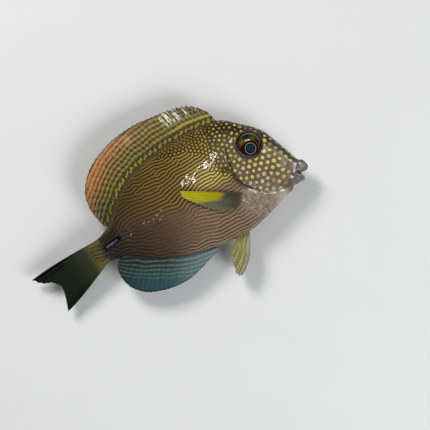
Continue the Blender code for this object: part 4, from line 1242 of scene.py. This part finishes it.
P_LEN = along((0, 0.15, 0.35, 0.55, 0.75, 0.90, 1.0), (22.0, 21.2, 17.6, 13.2, 9.0, 5.6, 3.6))
fin("pectoral_right_detail", "pectoral_fin_right",
    lambda t: (13.6 - 2.4 * t, -7.4 - 3.4 * t), lambda t: P_LEN(t) + 0.7, along((0, 0.5, 1.0), (154.0, 164.0, 182.0), True),
    pectoral_plane(1, 0.38, 0.85), rays=17, per_ray=8, rows=56, spines=1, notch=lambda t: 0.035 + 0 * t,
    root_t=0.22, mid_t=0.07, edge_t=0.035, ray_h=0.10, sink=0.6, colour=pectoral_colour, alpha=pectoral_alpha,
    material=fin_mat, wave=0.10)
fin("pectoral_left_detail", "pectoral_fin_left",
    lambda t: (12.9 - 2.4 * t, -7.7 - 3.7 * t), P_LEN, along((0, 0.5, 1.0), (196.0, 202.0, 212.0), True),
    pectoral_plane(-1, 0.50, 0.0), rays=17, per_ray=8, rows=44, spines=1, notch=lambda t: 0.035 + 0 * t,
    root_t=0.05, mid_t=0.07, edge_t=0.035, ray_h=0.08, sink=0.6, colour=pectoral_colour, alpha=pectoral_alpha,
    material=fin_mat, wave=0.0)


# ---- pelvic fins
def pelvic_colour(x, y, t, v, l, k, f, ridge):
    olive = lerp(rgb(136, 128, 76), rgb(118, 114, 66), smooth(0.3, 1, v))
    greyish = rgb(138, 142, 126)
    g = lerp(olive, greyish, smooth(0.34, 0.12, t) * 0.75)
    g = lerp(g, rgb(120, 106, 84), smooth(3.0, 0.5, l) * 0.8)
    g = lerp(g, rgb(196, 192, 150), ridge * 0.4 * smooth(1, 4, l))
    m = g * 0.72
    return g, m, np.clip(slow_noise(x * 2, y, 41, 2.5) * 2.5 - 0.2, -3, 3)


for sign, word, splay in ((1, "right", 0.03), (-1, "left", 0.11)):
    fin("pelvic_" + word + "_detail", "pelvic_fin_" + word,
        lambda t: (9.7 - 5.6 * t, belly(9.7 - 5.6 * t) - 0.1),
        along((0, 0.30, 0.55, 0.80, 1.0), (15.9, 15.0, 10.9, 6.9, 3.6)),
        along((0, 0.30, 0.55, 0.80, 1.0), (-108.0, -113.4, -122.5, -131.0, -135.0), True),
        lambda x, y, sign=sign, splay=splay: sign * (0.62 + splay * (-21.2 - y)),
        rays=6, per_ray=14, rows=44, spines=1, sweep=along((0, 0.30, 0.55, 0.80, 1.0), (-17.2, -12, -8, -5, -3), True),
        notch=lambda t: 0.04 + 0 * t, root_t=0.42, mid_t=0.10, edge_t=0.04,
        ray_h=0.17, sink=1.0, colour=pelvic_colour, alpha=lambda t, v, l, r: 0.98 - 0.22 * smooth(0.2, 0.7, v) * (1 - r),
        material=fin_mat, wave=0.12)


# ================================================================ eyes
def eye_material():
    mat = bpy.data.materials.new("eye_iris")
    nodes, links = nodes_of(mat)
    shader = nodes["Principled BSDF"]
    col = nodes.new("ShaderNodeAttribute")
    col.attribute_type, col.attribute_name = "GEOMETRY", "ground"
    place = nodes.new("ShaderNodeAttribute")
    place.attribute_type, place.attribute_name = "GEOMETRY", "fish"
    n = nodes.new("ShaderNodeTexNoise")
    n.inputs["Scale"].default_value, n.inputs["Detail"].default_value = 3.0, 4.0
    links.new(place.outputs["Vector"], n.inputs["Vector"])
    ramp = nodes.new("ShaderNodeMapRange")
    ramp.inputs["To Min"].default_value, ramp.inputs["To Max"].default_value = 0.55, 1.45
    links.new(n.outputs["Fac"], ramp.inputs["Value"])
    mul = nodes.new("ShaderNodeMix")
    mul.data_type, mul.blend_type = "RGBA", "MULTIPLY"
    mul.inputs["Factor"].default_value = 1.0
    grey = nodes.new("ShaderNodeCombineColor")
    for s in ("Red", "Green", "Blue"):
        links.new(ramp.outputs["Result"], grey.inputs[s])
    links.new(col.outputs["Color"], mul.inputs["A"])
    links.new(grey.outputs["Color"], mul.inputs["B"])
    links.new(mul.outputs["Result"], shader.inputs["Base Color"])
    rough = nodes.new("ShaderNodeMapRange")
    rough.inputs["To Min"].default_value, rough.inputs["To Max"].default_value = 0.12, 0.26
    links.new(n.outputs["Fac"], rough.inputs["Value"])
    links.new(rough.outputs["Result"], shader.inputs["Roughness"])
    b = nodes.new("ShaderNodeBump")
    b.inputs["Strength"].default_value, b.inputs["Distance"].default_value = 0.1, 0.00002
    links.new(n.outputs["Fac"], b.inputs["Height"])
    links.new(b.outputs["Normal"], shader.inputs["Normal"])
    shader.inputs["Coat Weight"].default_value = 1.0
    shader.inputs["Coat Roughness"].default_value = 0.03
    shader.inputs["Coat IOR"].default_value = 1.5
    return mat


iris_mat = eye_material()
PUPIL_OFF = (0.0, -1.42)


def eye(sign, word):
    rings, segs = 90, 120
    skin_z = float(body_half(np.array([EYE_AT[0]]), np.array([EYE_AT[1]]))[0])
    cz = skin_z + EYE_PROUD - EYE_DEPTH
    th = np.linspace(0, np.pi / 2 + 0.25, rings)
    ph = np.linspace(0, 2 * np.pi, segs, endpoint=False)
    TH, PH = np.meshgrid(th, ph, indexing="ij")
    lx, ly = EYE_R * np.sin(TH) * np.cos(PH), EYE_R * np.sin(TH) * np.sin(PH)
    lz = EYE_DEPTH * np.cos(TH)
    d = np.hypot(lx - PUPIL_OFF[0], ly - PUPIL_OFF[1])
    # the cornea bulges a little over the pupil
    lz = lz + 0.05 * np.clip(1 - (d / 2.0) ** 2, 0, 1) ** 2
    lz = np.minimum(lz, EYE_DEPTH + 0.1)
    x, y, z = EYE_AT[0] + lx, EYE_AT[1] + ly, sign * (cz + lz)
    pts = np.stack([x, y, z], -1).reshape(-1, 3)
    i, j = np.meshgrid(np.arange(rings - 1), np.arange(segs), indexing="ij")
    k = (j + 1) % segs
    q = np.stack([i * segs + j, (i + 1) * segs + j, (i + 1) * segs + k, i * segs + k], -1).reshape(-1, 4)
    if sign < 0:
        q = q[:, ::-1].copy()
    dd, lxx, lyy = d.ravel(), lx.ravel(), ly.ravel()
    r = np.hypot(lxx, lyy)
    c = np.broadcast_to(rgb(18, 18, 11), (len(dd), 3)).copy()
    # brassy patches high on both sides of the iris
    ang = np.degrees(np.arctan2(lyy, lxx))
    left = np.exp(-(((ang - 138) + 180) % 360 - 180) ** 2 / 26 ** 2) * bell(r - 2.75, 0.80)
    right = np.exp(-(((ang - 38) + 180) % 360 - 180) ** 2 / 22 ** 2) * bell(r - 2.9, 0.60)
    c = lerp(c, rgb(116, 90, 16), np.clip(left, 0, 1) * 0.9)
    c = lerp(c, rgb(92, 88, 12), np.clip(right, 0, 1) * 0.85)
    # lighter grey above the pupil: a painted sheen round the eye's highlight
    top = np.exp(-(((ang - 100) + 180) % 360 - 180) ** 2 / 45 ** 2) * bell(r - 1.6, 0.9)
    c = lerp(c, rgb(52, 52, 44), np.clip(top, 0, 1) * 0.6)
    c = lerp(c, rgb(16, 16, 14), bell(dd - 2.75, 0.38) * 0.8)
    outer = bell(np.hypot(lxx - PUPIL_OFF[0], lyy - PUPIL_OFF[1]) - 2.95, 0.10) * smooth(-2.2, 1.5, lxx + 0.5 * lyy)
    c = lerp(c, rgb(112, 82, 40), outer * 0.8)                                  # second fine ring, mostly in front
    c = lerp(c, rgb(176, 142, 94), bell(dd - 1.88, 0.085))                     # gold ring
    c = lerp(c, rgb(17, 32, 56), smooth(1.82, 1.70, dd))                        # pupil, dark blue
    # paler blue mottling in the pupil: a painted sheen on the lens
    c = lerp(c, rgb(44, 66, 92), smooth(1.7, 1.3, dd) * np.clip(2.2 * slow_noise(lxx, lyy, 71, 0.9) - 0.1, 0, 1) * 0.75)
    c = lerp(c, rgb(5, 9, 20), bell(dd - 1.55, 0.2) * 0.8)
    c = lerp(c, rgb(10, 9, 8), smooth(3.75, 4.15, r))                          # dark outer rim
    ob = add_mesh("eye_" + word + "_detail", pts, q)
    put_vector(ob, "fish", pts)
    put_colour(ob, "ground", c)
    ob.data.materials.append(iris_mat)
    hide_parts("eye_" + word)
    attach(ob, "root")


eye(1, "right")
eye(-1, "left")


# ================================================================ tail lancets
def lancet_material():
    mat = bpy.data.materials.new("lancet_horn")
    nodes, links = nodes_of(mat)
    shader = nodes["Principled BSDF"]
    tc = nodes.new("ShaderNodeAttribute")
    tc.attribute_type, tc.attribute_name = "GEOMETRY", "fish"
    n = nodes.new("ShaderNodeTexNoise")
    n.inputs["Scale"].default_value, n.inputs["Detail"].default_value = 2.4, 4.0
    links.new(tc.outputs["Vector"], n.inputs["Vector"])
    ramp = nodes.new("ShaderNodeValToRGB")
    ramp.color_ramp.elements[0].color = (*rgb(38, 34, 48), 1)
    ramp.color_ramp.elements[1].color = (*rgb(96, 92, 112), 1)
    ramp.color_ramp.elements[0].position, ramp.color_ramp.elements[1].position = 0.35, 0.65
    links.new(n.outputs["Fac"], ramp.inputs["Fac"])
    links.new(ramp.outputs["Color"], shader.inputs["Base Color"])
    r = nodes.new("ShaderNodeMapRange")
    r.inputs["To Min"].default_value, r.inputs["To Max"].default_value = 0.18, 0.38
    links.new(n.outputs["Fac"], r.inputs["Value"])
    links.new(r.outputs["Result"], shader.inputs["Roughness"])
    b = nodes.new("ShaderNodeBump")
    b.inputs["Strength"].default_value, b.inputs["Distance"].default_value = 0.2, 0.00003
    links.new(n.outputs["Fac"], b.inputs["Height"])
    links.new(b.outputs["Normal"], shader.inputs["Normal"])
    return mat


horn = lancet_material()


def lancet(sign, word):
    """A sharp blade hinged at its rear and folded forward along the tail stalk."""
    n, m = 40, 20
    s = np.linspace(0, 1, n)
    path = smooth_path(((-38.9, -4.65), (-37.2, -4.30), (-35.5, -3.95), (-33.9, -3.55)), n)
    wide = 0.50 * np.sqrt(np.clip(1 - (s * 1.02) ** 1.6, 0, 1)) * smooth(-0.12, 0.12, s) + 0.02
    thick = 0.26 * np.sqrt(np.clip(1 - s ** 1.4, 0, 1)) * smooth(-0.15, 0.1, s) + 0.015
    a = 2 * np.pi * np.arange(m) / m
    surf = body_half(path[:, 0], path[:, 1])
    d = np.gradient(path, axis=0)
    d /= np.linalg.norm(d, axis=1)[:, None]
    across = np.stack([-d[:, 1], d[:, 0]], 1)
    lens_x = np.sign(np.cos(a)) * np.abs(np.cos(a)) ** 0.8
    px = path[:, None, 0] + across[:, None, 0] * wide[:, None] * lens_x[None]
    py = path[:, None, 1] + across[:, None, 1] * wide[:, None] * lens_x[None]
    pz = (surf + 0.05)[:, None] + thick[:, None] * np.sin(a)[None]
    pts = np.concatenate([np.stack([px, py, sign * pz], -1).reshape(-1, 3),
                          [[path[0, 0], path[0, 1], sign * (surf[0] + 0.05)], [path[-1, 0] + 0.12, path[-1, 1] + 0.03, sign * (surf[-1] + 0.05)]]])
    i, j = np.meshgrid(np.arange(n - 1), np.arange(m), indexing="ij")
    k = (j + 1) % m
    q = np.stack([i * m + j, i * m + k, (i + 1) * m + k, (i + 1) * m + j], -1).reshape(-1, 4)
    j = np.arange(m)
    t = np.concatenate([np.stack([(j + 1) % m, j, np.full(m, n * m)], 1),
                        np.stack([(n - 1) * m + j, (n - 1) * m + (j + 1) % m, np.full(m, n * m + 1)], 1)])
    nn = point_normals(pts, q, t)
    if nn[(n // 2) * m + m // 4][2] * sign < 0:
        q, t = q[:, ::-1].copy(), t[:, ::-1].copy()
    ob = add_mesh("lancet_" + word + "_detail", pts, q, t)
    put_vector(ob, "fish", pts)
    ob.data.materials.append(horn)
    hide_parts("tail_lancet_" + word)
    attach(ob, "root")


lancet(1, "right")
lancet(-1, "left")


# ================================================================ floor, light, camera
def floor_material():
    mat = bpy.data.materials.new("pale_floor")
    nodes, links = nodes_of(mat)
    shader = nodes["Principled BSDF"]
    tc = nodes.new("ShaderNodeTexCoord")
    n = nodes.new("ShaderNodeTexNoise")
    n.inputs["Scale"].default_value, n.inputs["Detail"].default_value = 30.0, 3.0
    links.new(tc.outputs["Object"], n.inputs["Vector"])
    ramp = nodes.new("ShaderNodeValToRGB")
    ramp.color_ramp.elements[0].color = (0.59, 0.59, 0.58, 1)
    ramp.color_ramp.elements[1].color = (0.63, 0.63, 0.62, 1)
    links.new(n.outputs["Fac"], ramp.inputs["Fac"])
    links.new(ramp.outputs["Color"], shader.inputs["Base Color"])
    shader.inputs["Roughness"].default_value = 0.7
    return mat


bpy.ops.mesh.primitive_grid_add(x_subdivisions=8, y_subdivisions=8, size=3.0, location=(0, 0, 0))
floor = bpy.context.object
floor.name = "floor"
floor.data.materials.append(floor_material())

scene = bpy.context.scene
scene.view_settings.view_transform = "Standard"
scene.view_settings.look = "None"
world = bpy.data.worlds.new("studio")
scene.world = world
world.use_nodes = True
world.node_tree.nodes["Background"].inputs["Color"].default_value = (0.93, 0.96, 1.0, 1)
world.node_tree.nodes["Background"].inputs["Strength"].default_value = 0.20

THETA = math.radians(25.0)
IMG_RIGHT = Vector((math.cos(THETA), -math.sin(THETA), 0))
IMG_UP = Vector((math.sin(THETA), math.cos(THETA), 0))
LOOK = Vector((*to_row(np.array([1.08, -10.36, 4.0]))[:2], 0.0))


def area(name, right, up, height, long_side, short_side, energy, turn=0.0, aim=(0.0, 0.0), colour=(1, 1, 1), gloss=True,
         only=None):
    """Soft light placed right of, above and over the fish as pictured; turn is its long side's angle in the picture."""
    light = bpy.data.lights.new(name, "AREA")
    light.shape, light.size, light.size_y, light.energy, light.color = "RECTANGLE", long_side, short_side, energy, colour
    ob = bpy.data.objects.new(name, light)
    scene.collection.objects.link(ob)
    place = LOOK + IMG_RIGHT * right + IMG_UP * up + Vector((0, 0, height))
    back_way = (place - (LOOK + IMG_RIGHT * aim[0] + IMG_UP * aim[1] + Vector((0, 0, 0.008)))).normalized()
    long_way = IMG_RIGHT * math.cos(math.radians(turn)) + IMG_UP * math.sin(math.radians(turn))
    across = back_way.cross(long_way).normalized()
    m = Matrix((across.cross(back_way), across, back_way)).transposed().to_4x4()
    m.translation = place
    ob.matrix_world = m
    ob.visible_glossy = gloss
    if only:
        lit = bpy.data.collections.new("lit_by_" + name)
        for piece in scene.objects:
            if piece.type == "MESH" and piece.name.startswith(only):
                lit.objects.link(piece)
        ob.light_linking.receiver_collection = lit
        ob.visible_diffuse = False
    return ob


area("key", -0.34, 0.44, 0.44, 0.22, 0.22, 4.75, gloss=False)
area("fill", 0.50, -0.40, 0.40, 0.40, 0.40, 6.3, colour=(0.97, 0.98, 1.0), gloss=False)
# small lamps that show only as wet highlights
area("window", -0.070, 0.381, 0.60, 0.40, 0.050, 0.90, turn=17, only=("eye_",))
area("strip", -0.064, 0.160, 0.60, 0.25, 0.008, 0.46, turn=70, only=("skin", "coat_"))
area("glow", -0.215, -0.115, 0.60, 0.015, 0.010, 0.015, turn=100, only=("skin", "coat_"))
area("spark", -0.135, 0.250, 0.60, 0.16, 0.050, 0.55, turn=134, only=("dorsal_",))
area("flash", -0.025, 0.262, 0.60, 0.17, 0.080, 1.90, turn=134, only=("dorsal_",))
area("crest", 0.030, 0.470, 0.60, 0.10, 0.060, 0.80, turn=134, only=("dorsal_",))
area("film", 0.390, 0.350, 0.40, 0.40, 0.045, 2.70, turn=-14, only=("skin", "coat_gill_"))
area("gill", 0.300, 0.065, 0.40, 0.24, 0.050, 1.00, turn=0, only=("coat_gill_",))
area("brow", 0.280, 0.190, 0.40, 0.100, 0.050, 0.75, turn=-10, only=("coat_brow_",))
area("lip", 0.235, 0.120, 0.40, 0.34, 0.020, 1.10, turn=88, only=("skin",))
area("mouth", 0.070, 0.320, 0.40, 0.14, 0.060, 1.20, turn=60, only=("skin",))
area("chin", 0.310, -0.190, 0.40, 0.16, 0.025, 0.45, turn=0, only=("skin",))
area("bead", 0.060, 0.480, 0.60, 0.035, 0.020, 0.06, turn=20, only=("coat_head_",))
area("drop", -0.090, 0.010, 0.60, 0.060, 0.020, 0.25, turn=70, only=("pelvic_",))
world.cycles_visibility.glossy = False

cam_data = bpy.data.cameras.new("camera")
cam = bpy.data.objects.new("camera", cam_data)
scene.collection.objects.link(cam)
scene.camera = cam
DISTANCE = 0.45
PLANE = 0.007
cam_data.sensor_width = 36.0
cam_data.lens = 36.0 * DISTANCE / (430 / 2.8 * 0.001)
cam_data.clip_start, cam_data.clip_end = 0.01, 10.0
cam.location = (LOOK.x, LOOK.y, DISTANCE + PLANE)
m = Matrix((IMG_RIGHT, IMG_UP, Vector((0, 0, 1)))).transposed().to_4x4()
m.translation = cam.location
cam.matrix_world = m
